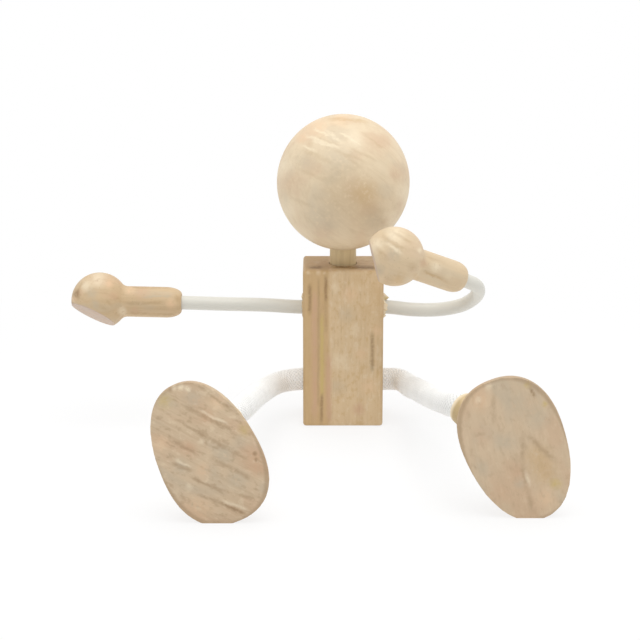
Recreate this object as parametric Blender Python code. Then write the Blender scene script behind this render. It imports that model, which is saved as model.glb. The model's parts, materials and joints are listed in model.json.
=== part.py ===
"""A wooden doll that sits with its legs forward: a ball head on a neck dowel, a block torso,
turned peg hands and half-egg feet, joined by white cords with a bendable wire core.

Metres, +Z up. The doll faces -Y and sits on Z = 0, with the torso's base centred on the origin.
Left and right are as seen from the front: left is -X.
"""

import math

import bmesh
import bpy
from mathutils import Matrix, Vector

# Gaps between pieces
FIT = 0.0003
TURNING_FIT = 0.0002

# Head and neck
HEAD_WIDTH = 0.0400
HEAD_HEIGHT = 0.0410
NECK_DIAMETER = 0.0080
NECK_SHOWING = 0.0050
NECK_IN_HEAD = 0.0110
NECK_IN_TORSO = 0.0080
NECK_CHAMFER = 0.0006

# Torso block
TORSO_WIDTH = 0.0243
TORSO_DEPTH = 0.0200
TORSO_HEIGHT = 0.0490
TORSO_EDGE_ROUND = 0.0009
ARM_BELOW_TOP = 0.0138
LEG_ABOVE_BASE = 0.0121

# Cords and their wire cores
ARM_CORD = 0.0042
ARM_WIRE = 0.0016
LEG_CORD = 0.0069
LEG_WIRE = 0.0024
CORD_IN_HAND = 0.0090
CORD_IN_FOOT = 0.0090
ARM_BEND_OUTSIDE = 0.0025
LEG_BEND_OUTSIDE = 0.0012

# Hands: a ball on a stem, with one flat sawn on the ball
HAND_LENGTH = 0.0328
HAND_BALL = 0.0172
HAND_STEM = 0.0093
HAND_WAIST_ROUND = 0.0026
HAND_END_TAPER = 0.0040
HAND_END_LIP = 0.0004

# Feet: half an egg with a flat sole and a stub for the ankle
SOLE_LENGTH = 0.0414
SOLE_WIDTH = 0.0272
SOLE_SQUARENESS = 2.3
SOLE_EDGE = 0.0006
EGG_TAPER = 0.13
FOOT_DOME = 0.0140
FOOT_REST_CUT = 0.0009
ANKLE_ABOVE_CENTRE = 0.0025
ANKLE_REACH = 0.0190
ANKLE_END = 0.0088
ANKLE_END_ROUND = 0.0006
ANKLE_ROOT = 0.0120
ANKLE_ROOT_DEPTH = 0.0095

# Where each limb goes. Routes start where the cord leaves the torso, and their points are
# measured from there. A joint lies at its distance along the cord from the torso's side.
LIMBS = {
    "left": {
        "side": -1,
        "arm_route": [(-0.012, -0.0007, 0.0008), (-0.024, -0.0022, 0.0015)],
        "hand_at": (-0.0376, -0.0040, 0.0024),
        "hand_axis": (-1.0, 0.0, 0.024),
        "hand_flat_faces": (0.0, -0.47, -0.88),
        "hand_flat_lean": math.radians(67),
        "hand_flat_out": 0.0048,
        "elbow_along": 0.0185,
        "leg_route": [
            (-0.0018, 0.0, -0.0001),
            (-0.0044, -0.0004, -0.0003),
            (-0.0068, -0.0017, -0.0004),
            (-0.0088, -0.0042, -0.0004),
            (-0.0102, -0.0078, -0.0001),
            (-0.0111, -0.0125, 0.0007),
            (-0.0122, -0.0210, 0.0024),
            (-0.0133, -0.0320, 0.0048),
            (-0.0144, -0.0440, 0.0072),
            (-0.0153, -0.0550, 0.0095),
            (-0.0166, -0.0645, 0.0109),
        ],
        "knee_along": 0.0420,
        "foot_out": 0.0247,
        "foot_forward": 0.0918,
        "sole_tilt": math.radians(23.9),
        "ankle_lean": math.radians(20.5),
        "ankle_towards": (0.963, 0.270),
        "narrow_end": 1,
    },
    "right": {
        "side": 1,
        "arm_route": [
            (0.0100, 0.0, -0.0009),
            (0.0180, -0.0006, -0.0006),
            (0.0245, -0.0036, 0.0017),
            (0.0280, -0.0098, 0.0063),
            (0.0272, -0.0166, 0.0109),
        ],
        "hand_at": (0.0227, -0.0206, 0.0138),
        "hand_axis": (-0.841, -0.384, 0.381),
        "hand_flat_faces": (-0.338, 0.226, -0.517),
        "hand_flat_lean": math.radians(41),
        "hand_flat_out": 0.0061,
        "elbow_along": 0.0340,
        "leg_route": [
            (0.0024, 0.0, 0.0),
            (0.0044, -0.0006, 0.0001),
            (0.0063, -0.0024, 0.0001),
            (0.0076, -0.0058, 0.0001),
            (0.0086, -0.0112, 0.0008),
            (0.0096, -0.0200, 0.0030),
            (0.0112, -0.0320, 0.0055),
            (0.0129, -0.0440, 0.0081),
            (0.0146, -0.0550, 0.0105),
            (0.0166, -0.0655, 0.0128),
        ],
        "knee_along": 0.0420,
        "foot_out": 0.0332,
        "foot_forward": 0.0880,
        "sole_tilt": math.radians(21.6),
        "ankle_lean": math.radians(43),
        "ankle_towards": (-0.930, 0.367),
        "narrow_end": -1,
    },
}

# Heights that follow from the sizes above
ARM_HEIGHT = TORSO_HEIGHT - ARM_BELOW_TOP
HEAD_BASE = TORSO_HEIGHT + NECK_SHOWING

# How finely round shapes are divided
TURNED_STEPS = 36
ARC_STEPS = 12
SMALL_ARC_STEPS = 4
END_STEPS = 5
DOME_STEPS = 40
RIM_STEPS = 360
EDGE_STEPS = 3
ROUTE_STEPS = 24
CORD_STEP = 0.0034
CORD_END_STEP = 0.0009
CORD_BEVEL_STEPS = 3
WIRE_BEVEL_STEPS = 2
SHARP_FROM = math.radians(35)
SAME_POINT = 1e-7
BACK = Vector((0, 1, 0))


def clear_scene():
    for obj in list(bpy.data.objects):
        bpy.data.objects.remove(obj, do_unlink=True)


def material(name, colour, roughness, metallic=0.0):
    """A plain material. The colour is linear."""
    made = bpy.data.materials.new(name)
    made.use_nodes = True
    shader = made.node_tree.nodes["Principled BSDF"]
    shader.inputs["Base Color"].default_value = (*colour, 1.0)
    shader.inputs["Roughness"].default_value = roughness
    shader.inputs["Metallic"].default_value = metallic
    return made


def add_object(name, data, finish, parent=None):
    obj = bpy.data.objects.new(name, data)
    bpy.context.scene.collection.objects.link(obj)
    obj.data.materials.append(finish)
    if parent is not None:
        obj.parent = parent
        obj.matrix_parent_inverse = Matrix.Translation(-Vector(parent["joint_at"]))
    return obj


def mesh_from(bm, name):
    bmesh.ops.recalc_face_normals(bm, faces=bm.faces)
    mesh = bpy.data.meshes.new(name)
    bm.to_mesh(mesh)
    bm.free()
    mesh.shade_smooth()
    mesh.set_sharp_from_angle(angle=SHARP_FROM)
    return mesh


def joint_empty(name, point, parent=None):
    """An empty on a joint's axis. What moves with the joint is parented to it."""
    empty = bpy.data.objects.new(name, None)
    empty.empty_display_size = ARM_CORD
    bpy.context.scene.collection.objects.link(empty)
    at = Vector(point)
    empty.location = at
    if parent is not None:
        empty.parent = parent
        empty.location = at - Vector(parent["joint_at"])
    empty["joint_at"] = at
    return empty


def arc(centre, radius, first, last, steps=ARC_STEPS):
    """Points (radius, height) on an arc, with angles measured from the outward direction."""
    points = []
    for step in range(steps + 1):
        angle = first + (last - first) * step / steps
        points.append((centre[0] + radius * math.cos(angle), centre[1] + radius * math.sin(angle)))
    return points


def turned(profile, steps=TURNED_STEPS):
    """A solid of revolution about Z from a profile of (radius, height) that starts and ends on the axis."""
    bm = bmesh.new()
    row = [bm.verts.new((radius, 0.0, height)) for radius, height in profile]
    edges = [bm.edges.new(pair) for pair in zip(row, row[1:])]
    bmesh.ops.spin(
        bm, geom=row + edges, cent=(0, 0, 0), axis=(0, 0, 1), angle=math.tau, steps=steps, use_merge=True
    )
    bmesh.ops.remove_doubles(bm, verts=bm.verts, dist=SAME_POINT)
    return bm


def pointing(axis, side_hint):
    """A rotation that takes +Z to axis and +X as near as it can to side_hint."""
    up = Vector(axis).normalized()
    side = Vector(side_hint)
    side = (side - up * side.dot(up)).normalized()
    across = up.cross(side)
    return Matrix((side, across, up)).transposed().to_4x4()


def cut_flat(bm, point, normal):
    """Cuts off what lies beyond a plane and closes the cut with one flat face."""
    geom = bm.verts[:] + bm.edges[:] + bm.faces[:]
    made = bmesh.ops.bisect_plane(
        bm, geom=geom, plane_co=point, plane_no=normal, clear_outer=True, dist=SAME_POINT
    )
    rim = [item for item in made["geom_cut"] if isinstance(item, bmesh.types.BMEdge)]
    bmesh.ops.edgeloop_fill(bm, edges=rim)
    return rim


def add_cutter(name, bm):
    """A shape that only cuts or joins another, kept out of the model itself."""
    cutter = bpy.data.objects.new(name, mesh_from(bm, name))
    cutter.hide_render = True
    cutter.display_type = "WIRE"
    bpy.context.scene.collection.objects.link(cutter)
    return cutter


def cylinder_cutter(name, radius, start, end):
    """A round cutter from start to end."""
    start = Vector(start)
    run = Vector(end) - start
    bm = bmesh.new()
    bmesh.ops.create_cone(
        bm, cap_ends=True, segments=TURNED_STEPS, radius1=radius, radius2=radius, depth=run.length
    )
    turn = run.to_track_quat("Z", "Y").to_matrix().to_4x4()
    bmesh.ops.transform(bm, matrix=Matrix.Translation(start + run / 2) @ turn, verts=bm.verts)
    return add_cutter(name, bm)


def combine(obj, cutter, operation="DIFFERENCE"):
    modifier = obj.modifiers.new(cutter.name, "BOOLEAN")
    modifier.operation = operation
    modifier.solver = "EXACT"
    modifier.object = cutter


def make_head(parent):
    """The ball head, a little taller than wide, with a blind hole for the neck."""
    half_width = HEAD_WIDTH / 2
    half_height = HEAD_HEIGHT / 2
    hole = NECK_DIAMETER / 2 + TURNING_FIT
    rim_angle = -math.acos(hole / half_width)
    profile = [(0.0, half_height)]
    for radius, height in arc((0, 0), 1.0, math.pi / 2, rim_angle, steps=2 * ARC_STEPS)[1:]:
        profile.append((radius * half_width, height * half_height))
    rim_height = profile[-1][1]
    profile.append((hole, rim_height + NECK_IN_HEAD + FIT))
    profile.append((0.0, rim_height + NECK_IN_HEAD + FIT))
    bm = turned(profile)
    bmesh.ops.translate(bm, vec=(0, 0, HEAD_BASE - rim_height), verts=bm.verts)
    finish = material("head_wood", (0.80, 0.64, 0.44), 0.55)
    add_object("head", mesh_from(bm, "head"), finish, parent)


def make_neck():
    """The dowel that pins the head to the torso."""
    radius = NECK_DIAMETER / 2
    base = TORSO_HEIGHT - NECK_IN_TORSO
    top = HEAD_BASE + NECK_IN_HEAD
    profile = [
        (0.0, top),
        (radius - NECK_CHAMFER, top),
        (radius, top - NECK_CHAMFER),
        (radius, base + NECK_CHAMFER),
        (radius - NECK_CHAMFER, base),
        (0.0, base),
    ]
    finish = material("neck_wood", (0.62, 0.46, 0.29), 0.6)
    add_object("neck_dowel", mesh_from(turned(profile), "neck_dowel"), finish)


def make_torso():
    """The block, with a blind neck hole from above and two cross holes for the cords."""
    bm = bmesh.new()
    bmesh.ops.create_cube(bm, size=1.0)
    bmesh.ops.scale(bm, vec=(TORSO_WIDTH, TORSO_DEPTH, TORSO_HEIGHT), verts=bm.verts)
    bmesh.ops.translate(bm, vec=(0, 0, TORSO_HEIGHT / 2), verts=bm.verts)
    bmesh.ops.bevel(
        bm, geom=bm.edges[:], offset=TORSO_EDGE_ROUND, segments=EDGE_STEPS, profile=0.5, affect="EDGES"
    )
    finish = material("torso_wood", (0.56, 0.39, 0.23), 0.6)
    torso = add_object("torso_block", mesh_from(bm, "torso_block"), finish)
    past = TORSO_WIDTH
    neck_bottom = TORSO_HEIGHT - NECK_IN_TORSO - FIT
    neck_radius = NECK_DIAMETER / 2 + FIT
    combine(torso, cylinder_cutter("neck_hole", neck_radius, (0, 0, neck_bottom), (0, 0, HEAD_BASE)))
    cross_holes = (("arm_hole", ARM_CORD, ARM_HEIGHT), ("leg_hole", LEG_CORD, LEG_ABOVE_BASE))
    for name, diameter, height in cross_holes:
        radius = diameter / 2 + FIT
        combine(torso, cylinder_cutter(name, radius, (-past, 0, height), (past, 0, height)))


def smooth_route(points, first_way, last_way):
    """Closely spaced points on a smooth curve through the given points, with set end directions."""
    points = [Vector(point) for point in points]
    times = [0.0]
    for near, far in zip(points, points[1:]):
        times.append(times[-1] + (far - near).length)
    ways = [Vector(first_way).normalized()]
    for index in range(1, len(points) - 1):
        span = times[index + 1] - times[index - 1]
        ways.append((points[index + 1] - points[index - 1]) / span)
    ways.append(Vector(last_way).normalized())
    line = []
    for index in range(len(points) - 1):
        span = times[index + 1] - times[index]
        for step in range(ROUTE_STEPS):
            t = step / ROUTE_STEPS
            line.append(
                points[index] * (2 * t**3 - 3 * t**2 + 1)
                + ways[index] * (t**3 - 2 * t**2 + t) * span
                + points[index + 1] * (3 * t**2 - 2 * t**3)
                + ways[index + 1] * (t**3 - t**2) * span
            )
    line.append(points[-1])
    return line


def lengths_along(line):
    along = [0.0]
    for near, far in zip(line, line[1:]):
        along.append(along[-1] + (far - near).length)
    return along


def point_along(line, distance):
    """The point at a distance along a line."""
    along = lengths_along(line)
    index = 0
    while index < len(line) - 2 and distance > along[index + 1]:
        index += 1
    step = line[index + 1] - line[index]
    return line[index] + step.normalized() * (distance - along[index])


def stretch(line, first, last):
    """Evenly spaced points between two distances along a line.

    A short first and last step keep the tube's ends square to the line.
    """
    count = max(2, round((last - first) / CORD_STEP))
    distances = [first + (last - first) * step / count for step in range(count + 1)]
    distances[1:1] = [first + CORD_END_STEP]
    distances[-1:-1] = [last - CORD_END_STEP]
    return [point_along(line, distance) for distance in distances]


def make_tube(name, points, diameter, bevel_steps, finish, bore=0.0, parent=None):
    """A round tube along the points, solid if it has no bore."""
    curve = bpy.data.curves.new(name, "CURVE")
    curve.dimensions = "3D"
    curve.bevel_depth = diameter / 2
    curve.bevel_resolution = bevel_steps
    curve.use_fill_caps = bore == 0.0
    spline = curve.splines.new("POLY")
    spline.points.add(len(points) - 1)
    for target, point in zip(spline.points, points):
        target.co = (*point, 1.0)
    spline.use_smooth = True
    tube = add_object(name, curve, finish, parent)
    if bore:
        wall = tube.modifiers.new("wall", "SOLIDIFY")
        wall.thickness = (diameter - bore) / 2
        wall.offset = -1.0
        wall.use_rim = True


def limb_line(exit_point, side, route, end_point, end_way, into_end):
    """The centre line of half a cord, from the middle of the torso to its end in a hand or foot."""
    way = Vector(end_way).normalized()
    points = [exit_point] + [exit_point + Vector(offset) for offset in route] + [end_point]
    middle = Vector((0.0, 0.0, exit_point.z))
    return [middle] + smooth_route(points, (side, 0, 0), way) + [end_point + way * into_end]


def make_limb_cord(names, line, root, joint, diameter, bore, finish, parents):
    """The two stretches of a limb's cord, which meet at its middle joint. Gives all their points."""
    end = lengths_along(line)[-1]
    spans = ((root + FIT / 2, joint - FIT / 2), (joint + FIT / 2, end))
    points = []
    for name, span, parent in zip(names, spans, parents):
        part = stretch(line, *span)
        make_tube(name, part, diameter, CORD_BEVEL_STEPS, finish, bore, parent)
        points += part
    return points


def make_hand(name, at, limb, parent):
    """A turned peg hand. It is modelled standing on its stem end, then laid along the cord."""
    ball = HAND_BALL / 2
    stem = HAND_STEM / 2
    hole = ARM_CORD / 2 + FIT
    hole_depth = CORD_IN_HAND + FIT
    lip = hole + HAND_END_LIP
    ball_centre = HAND_LENGTH - ball
    waist_out = stem + HAND_WAIST_ROUND
    waist_angle = math.acos(waist_out / (ball + HAND_WAIST_ROUND))
    waist_height = ball_centre - waist_out * math.tan(waist_angle)
    waist = arc((waist_out, waist_height), HAND_WAIST_ROUND, math.pi - waist_angle, math.pi, SMALL_ARC_STEPS)
    profile = [(0.0, HAND_LENGTH)]
    profile += arc((0.0, ball_centre), ball, math.pi / 2, -waist_angle)[1:]
    profile += waist[1:]
    for inward, down in arc((0.0, 0.0), 1.0, 0.0, -math.pi / 2, END_STEPS):
        profile.append((lip + (stem - lip) * inward, HAND_END_TAPER * (1.0 + down)))
    profile += [(hole, 0.0), (hole, hole_depth), (0.0, hole_depth)]
    bm = turned(profile)
    lean = limb["hand_flat_lean"]
    flat_way = Vector((math.sin(lean), 0.0, math.cos(lean)))
    cut_flat(bm, Vector((0, 0, ball_centre)) + flat_way * limb["hand_flat_out"], flat_way)
    place = Matrix.Translation(at) @ pointing(limb["hand_axis"], limb["hand_flat_faces"])
    bmesh.ops.transform(bm, matrix=place, verts=bm.verts)
    finish = material(name + "_wood", (0.66, 0.50, 0.32), 0.55)
    add_object(name, mesh_from(bm, name), finish, parent)


def egg_point(x, y, narrow_end):
    """Where a point of the unit circle's disc lies on the sole: a squarish oval, narrower at one end."""
    size = (abs(x) ** SOLE_SQUARENESS + abs(y) ** SOLE_SQUARENESS) ** (1.0 / SOLE_SQUARENESS)
    grow = math.hypot(x, y) / max(size, SAME_POINT)
    width = SOLE_WIDTH / 2 * (1.0 - EGG_TAPER * narrow_end * y * grow)
    return x * grow * width, y * grow * SOLE_LENGTH / 2


def foot_frame(limb):
    """The sole's centre, the way its long axis runs upwards, and where the ankle starts and ends."""
    tilt = limb["sole_tilt"]
    lowest = 0.0
    for across, along in arc((0.0, 0.0), 1.0, 0.0, math.tau, RIM_STEPS):
        across, along = egg_point(across, along, limb["narrow_end"])
        lowest = min(lowest, across * math.sin(tilt) + along * math.cos(tilt))
    out = limb["side"] * (TORSO_WIDTH / 2 + limb["foot_out"])
    centre = Vector((out, -limb["foot_forward"], -lowest - FOOT_REST_CUT))
    long_way = Vector((-math.sin(tilt), 0.0, math.cos(tilt)))
    across, up = limb["ankle_towards"]
    leaning = Vector((across, 0.0, up)).normalized()
    ankle = BACK * math.cos(limb["ankle_lean"]) + leaning * math.sin(limb["ankle_lean"])
    start = centre + long_way * ANKLE_ABOVE_CENTRE
    return centre, long_way, start, start + ankle * ANKLE_REACH


def make_foot(name, limb, parent):
    """Half an egg with its flat sole facing forward, and the ankle stub that takes the leg cord."""
    centre, long_way, start, entry = foot_frame(limb)
    bm = bmesh.new()
    bmesh.ops.create_uvsphere(bm, u_segments=DOME_STEPS, v_segments=DOME_STEPS // 2, radius=1.0)
    rim = cut_flat(bm, (0, 0, 0), (0, 0, -1))
    for vert in bm.verts:
        vert.co = Vector((*egg_point(vert.co.x, vert.co.y, limb["narrow_end"]), vert.co.z * FOOT_DOME))
    bmesh.ops.bevel(bm, geom=rim, offset=SOLE_EDGE, segments=EDGE_STEPS, profile=0.5, affect="EDGES")
    turn = Matrix((long_way.cross(BACK), long_way, BACK)).transposed().to_4x4()
    bmesh.ops.transform(bm, matrix=Matrix.Translation(centre) @ turn, verts=bm.verts)
    finish = material(name + "_wood", (0.55, 0.42, 0.28), 0.6)
    foot = add_object(name, mesh_from(bm, name), finish, parent)
    ankle = (entry - start).normalized()
    bottom = entry - ankle * (CORD_IN_FOOT + FIT)
    past = entry + ankle * CORD_IN_FOOT
    combine(foot, ankle_stub(name + "_stub", start, ankle), "UNION")
    combine(foot, cylinder_cutter(name + "_hole", LEG_CORD / 2 + FIT, bottom, past))
    combine(foot, floor_cutter(name + "_rest", centre))


def ankle_stub(name, start, ankle):
    """The tapered stub that the dome is joined to, with a rounded end."""
    rim = (ANKLE_END / 2 - ANKLE_END_ROUND, ANKLE_REACH - ANKLE_END_ROUND)
    profile = [(0.0, ANKLE_ROOT_DEPTH), (ANKLE_ROOT / 2, ANKLE_ROOT_DEPTH)]
    profile += arc(rim, ANKLE_END_ROUND, 0.0, math.pi / 2, EDGE_STEPS)
    profile.append((0.0, ANKLE_REACH))
    bm = turned(profile)
    turn = ankle.to_track_quat("Z", "Y").to_matrix().to_4x4()
    bmesh.ops.transform(bm, matrix=Matrix.Translation(start) @ turn, verts=bm.verts)
    return add_cutter(name, bm)


def floor_cutter(name, foot_centre):
    """A slab below the surface that the doll sits on: it leaves the small flat each foot rests on."""
    size = SOLE_LENGTH + SOLE_WIDTH + ANKLE_REACH
    bm = bmesh.new()
    bmesh.ops.create_cube(bm, size=size)
    bmesh.ops.translate(bm, vec=(foot_centre.x, foot_centre.y, -size / 2), verts=bm.verts)
    return add_cutter(name, bm)


def make_arms(finish, wire_finish):
    bore = ARM_WIRE + 2 * FIT
    root = TORSO_WIDTH / 2 + ARM_BEND_OUTSIDE
    halves = {}
    for name, limb in LIMBS.items():
        side = limb["side"]
        exit_point = Vector((side * TORSO_WIDTH / 2, 0.0, ARM_HEIGHT))
        hand_at = exit_point + Vector(limb["hand_at"])
        line = limb_line(exit_point, side, limb["arm_route"], hand_at, limb["hand_axis"], CORD_IN_HAND)
        elbow_at = TORSO_WIDTH / 2 + limb["elbow_along"]
        shoulder = joint_empty(name + "_shoulder", point_along(line, root))
        elbow = joint_empty(name + "_elbow", point_along(line, elbow_at), shoulder)
        names = (name + "_upper_arm", name + "_forearm")
        halves[name] = make_limb_cord(names, line, root, elbow_at, ARM_CORD, bore, finish, (shoulder, elbow))
        make_hand(name + "_hand", hand_at, limb, elbow)
    make_cord_centre("arm", root, ARM_HEIGHT, ARM_CORD, bore, ARM_WIRE, finish, wire_finish, halves)


def make_legs(finish, wire_finish):
    bore = LEG_WIRE + 2 * FIT
    root = TORSO_WIDTH / 2 + LEG_BEND_OUTSIDE
    halves = {}
    for name, limb in LIMBS.items():
        side = limb["side"]
        exit_point = Vector((side * TORSO_WIDTH / 2, 0.0, LEG_ABOVE_BASE))
        _, _, ankle_start, foot_at = foot_frame(limb)
        line = limb_line(exit_point, side, limb["leg_route"], foot_at, ankle_start - foot_at, CORD_IN_FOOT)
        knee_at = TORSO_WIDTH / 2 + limb["knee_along"]
        hip = joint_empty(name + "_hip", point_along(line, root))
        knee = joint_empty(name + "_knee", point_along(line, knee_at), hip)
        names = (name + "_thigh", name + "_shin")
        halves[name] = make_limb_cord(names, line, root, knee_at, LEG_CORD, bore, finish, (hip, knee))
        make_foot(name + "_foot", limb, knee)
    make_cord_centre("leg", root, LEG_ABOVE_BASE, LEG_CORD, bore, LEG_WIRE, finish, wire_finish, halves)


def make_cord_centre(name, root, height, diameter, bore, wire, finish, wire_finish, halves):
    """The stretch of cord inside the torso, and the one wire that runs through the whole cord."""
    end = root - FIT / 2
    points = [Vector((-end, 0.0, height)), Vector((0.0, 0.0, height)), Vector((end, 0.0, height))]
    make_tube(name + "_cord_centre", points, diameter, CORD_BEVEL_STEPS, finish, bore)
    wire_points = halves["left"][::-1] + points + halves["right"]
    make_tube(name + "_wire", wire_points, wire, WIRE_BEVEL_STEPS, wire_finish)


def main():
    clear_scene()
    neck_top = joint_empty("head_turn", (0.0, 0.0, HEAD_BASE))
    make_head(neck_top)
    make_neck()
    make_torso()
    wire_finish = material("wire_steel", (0.35, 0.35, 0.36), 0.35, 1.0)
    make_arms(material("arm_cord_white", (0.76, 0.73, 0.65), 0.45), wire_finish)
    make_legs(material("leg_cord_white", (0.78, 0.76, 0.71), 0.6), wire_finish)


main()
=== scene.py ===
"""The looks of a small wooden doll that sits with its legs forward.

Metres, +Z up. The doll faces -Y and sits on Z = 0. Left is -X, as seen from the front.
"""

import json
import math

import bmesh
import bpy
from bpy.props import FloatProperty, FloatVectorProperty, IntProperty, PointerProperty
from mathutils import Matrix, Vector


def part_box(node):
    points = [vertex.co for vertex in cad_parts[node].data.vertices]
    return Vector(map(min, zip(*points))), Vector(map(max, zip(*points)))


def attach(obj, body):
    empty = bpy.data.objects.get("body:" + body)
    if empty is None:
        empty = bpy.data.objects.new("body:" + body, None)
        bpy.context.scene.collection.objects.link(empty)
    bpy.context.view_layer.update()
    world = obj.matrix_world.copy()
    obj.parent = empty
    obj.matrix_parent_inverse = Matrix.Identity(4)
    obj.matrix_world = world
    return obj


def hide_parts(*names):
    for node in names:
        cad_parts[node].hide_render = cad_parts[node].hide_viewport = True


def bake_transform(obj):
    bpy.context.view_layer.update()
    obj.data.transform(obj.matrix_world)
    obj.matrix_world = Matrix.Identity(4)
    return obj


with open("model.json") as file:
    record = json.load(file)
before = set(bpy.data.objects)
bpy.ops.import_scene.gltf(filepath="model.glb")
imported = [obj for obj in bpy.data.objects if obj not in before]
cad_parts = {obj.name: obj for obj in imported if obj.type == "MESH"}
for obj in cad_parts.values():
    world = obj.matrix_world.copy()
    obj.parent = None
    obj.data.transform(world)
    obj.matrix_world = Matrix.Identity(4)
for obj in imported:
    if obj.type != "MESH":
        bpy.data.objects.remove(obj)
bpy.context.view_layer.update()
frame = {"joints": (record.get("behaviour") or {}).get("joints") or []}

bl_info = {
    "name": "Wooden Doll",
    "version": (1, 0, 0),
    "blender": (4, 5, 0),
    "location": "3D View > Sidebar > Doll",
    "description": "Makes a seated wooden doll with cord arms and legs",
    "category": "Add Mesh",
}

IMAGE_SIDE = 640
SAME_POINT = 1e-7
GAP = 0.0003
TURNING_GAP = 0.0002
BACK = Vector((0, 1, 0))

JOINTS = {joint["name"]: Vector(joint["pos_m"]) for joint in frame["joints"]}
HEAD_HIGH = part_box("head")[1]
TORSO_LOW, TORSO_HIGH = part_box("torso_block")
NECK_LOW, NECK_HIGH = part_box("neck_dowel")
HEAD_BASE = JOINTS["head_turn"].z
ARM_HEIGHT = JOINTS["left_shoulder_raise"].z
LEG_HEIGHT = JOINTS["left_hip_swing"].z
HALF_TORSO = TORSO_HIGH.x
NECK_RADIUS = NECK_HIGH.x
HEAD_HOLE = NECK_RADIUS + TURNING_GAP
HEAD_RADIUS = HEAD_HIGH.x
HEAD_RIM_ANGLE = -math.acos(HEAD_HOLE / HEAD_RADIUS)
HEAD_HALF_HEIGHT = (HEAD_HIGH.z - HEAD_BASE) / (1.0 - math.sin(HEAD_RIM_ANGLE))
HEAD_CENTRE = Vector((0.0, 0.0, HEAD_HIGH.z - HEAD_HALF_HEIGHT))

# Hands and feet, as the solids have them. A limb's hand_end_more and stub_more are added to them.
HAND_LENGTH = 0.0328
HAND_BALL = 0.0172
HAND_STEM = 0.0093
HAND_WAIST_ROUND = 0.0026
HAND_END_TAPER = 0.0040
CORD_IN_END = 0.0090
SOLE_LENGTH = 0.0414
SOLE_WIDTH = 0.0272
SOLE_SQUARENESS = 2.3
EGG_TAPER = 0.13
FOOT_DOME = 0.0140
FOOT_REST_CUT = 0.0009
ANKLE_ABOVE_CENTRE = 0.0025
ANKLE_REACH = 0.0190
ANKLE_END = 0.0088
ANKLE_END_ROUND = 0.0006
ANKLE_ROOT = 0.0120
ANKLE_ROOT_DEPTH = 0.0095

# Where each limb goes. Routes start where the cord leaves the torso, and their points are measured from
# there. Bends are given, for each of the limb's two joints, as two distances along the cord from there.
LIMBS = {
    "left": {
        "side": -1,
        "arm_route": [(-0.012, -0.0007, 0.0008), (-0.024, -0.0022, 0.0015)],
        "hand_at": (-0.0376, -0.0040, 0.0024),
        "hand_axis": (-1.0, 0.0, 0.024),
        "hand_flat_faces": (0.0, -0.47, -0.88),
        "hand_flat_lean": math.radians(67),
        "hand_flat_out": 0.0048,
        "hand_fair": 0.03,
        "hand_end_lip": 0.0001,
        "hand_end_more": 0.0007,
        "sole_figure": 1.0,
        "arm_bends": [(0.0, 0.0070), (0.0115, 0.0255)],
        "leg_route": [
            (-0.0018, 0.0, -0.0001), (-0.0044, -0.0004, -0.0003), (-0.0068, -0.0017, -0.0004),
            (-0.0088, -0.0042, -0.0004), (-0.0102, -0.0078, -0.0001), (-0.0111, -0.0125, 0.0007),
            (-0.0122, -0.0210, 0.0024), (-0.0133, -0.0320, 0.0048), (-0.0144, -0.0440, 0.0072),
            (-0.0153, -0.0550, 0.0095), (-0.0166, -0.0645, 0.0109),
        ],
        "leg_bends": [(-0.0080, -0.0005), (0.0340, 0.0500)],
        "foot_out": 0.0247,
        "foot_forward": 0.0918,
        "sole_tilt": math.radians(23.9),
        "ankle_lean": math.radians(20.5),
        "ankle_towards": (0.963, 0.270),
        "stub_more": 0.0,
        "narrow_end": 1,
        "sole_grain": (0.874, 0.0, -0.485),
    },
    "right": {
        "side": 1,
        "arm_route": [
            (0.0100, 0.0, -0.0009), (0.0180, -0.0006, -0.0006), (0.0245, -0.0036, 0.0017),
            (0.0280, -0.0098, 0.0063), (0.0272, -0.0166, 0.0109),
        ],
        "hand_at": (0.0227, -0.0206, 0.0138),
        "hand_axis": (-0.841, -0.384, 0.381),
        "hand_flat_faces": (-0.338, 0.226, -0.517),
        "hand_flat_lean": math.radians(41),
        "hand_flat_out": 0.0061,
        "hand_fair": 0.29,
        "hand_end_lip": 0.0004,
        "hand_end_more": 0.0,
        "sole_figure": 0.45,
        "arm_bends": [(0.0, 0.0070), (0.0220, 0.0460)],
        "leg_route": [
            (0.0024, 0.0, 0.0), (0.0044, -0.0006, 0.0001), (0.0063, -0.0024, 0.0001),
            (0.0076, -0.0058, 0.0001), (0.0086, -0.0112, 0.0008), (0.0096, -0.0200, 0.0030),
            (0.0112, -0.0320, 0.0055), (0.0129, -0.0440, 0.0081), (0.0146, -0.0550, 0.0105),
            (0.0166, -0.0655, 0.0128),
        ],
        "leg_bends": [(-0.0080, -0.0005), (0.0340, 0.0500)],
        "foot_out": 0.0332,
        "foot_forward": 0.0880,
        "sole_tilt": math.radians(21.6),
        "ankle_lean": math.radians(43),
        "ankle_towards": (-0.930, 0.367),
        "stub_more": 0.0018,
        "narrow_end": -1,
        "sole_grain": (-0.25, 0.15, 0.95),
    },
}

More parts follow.
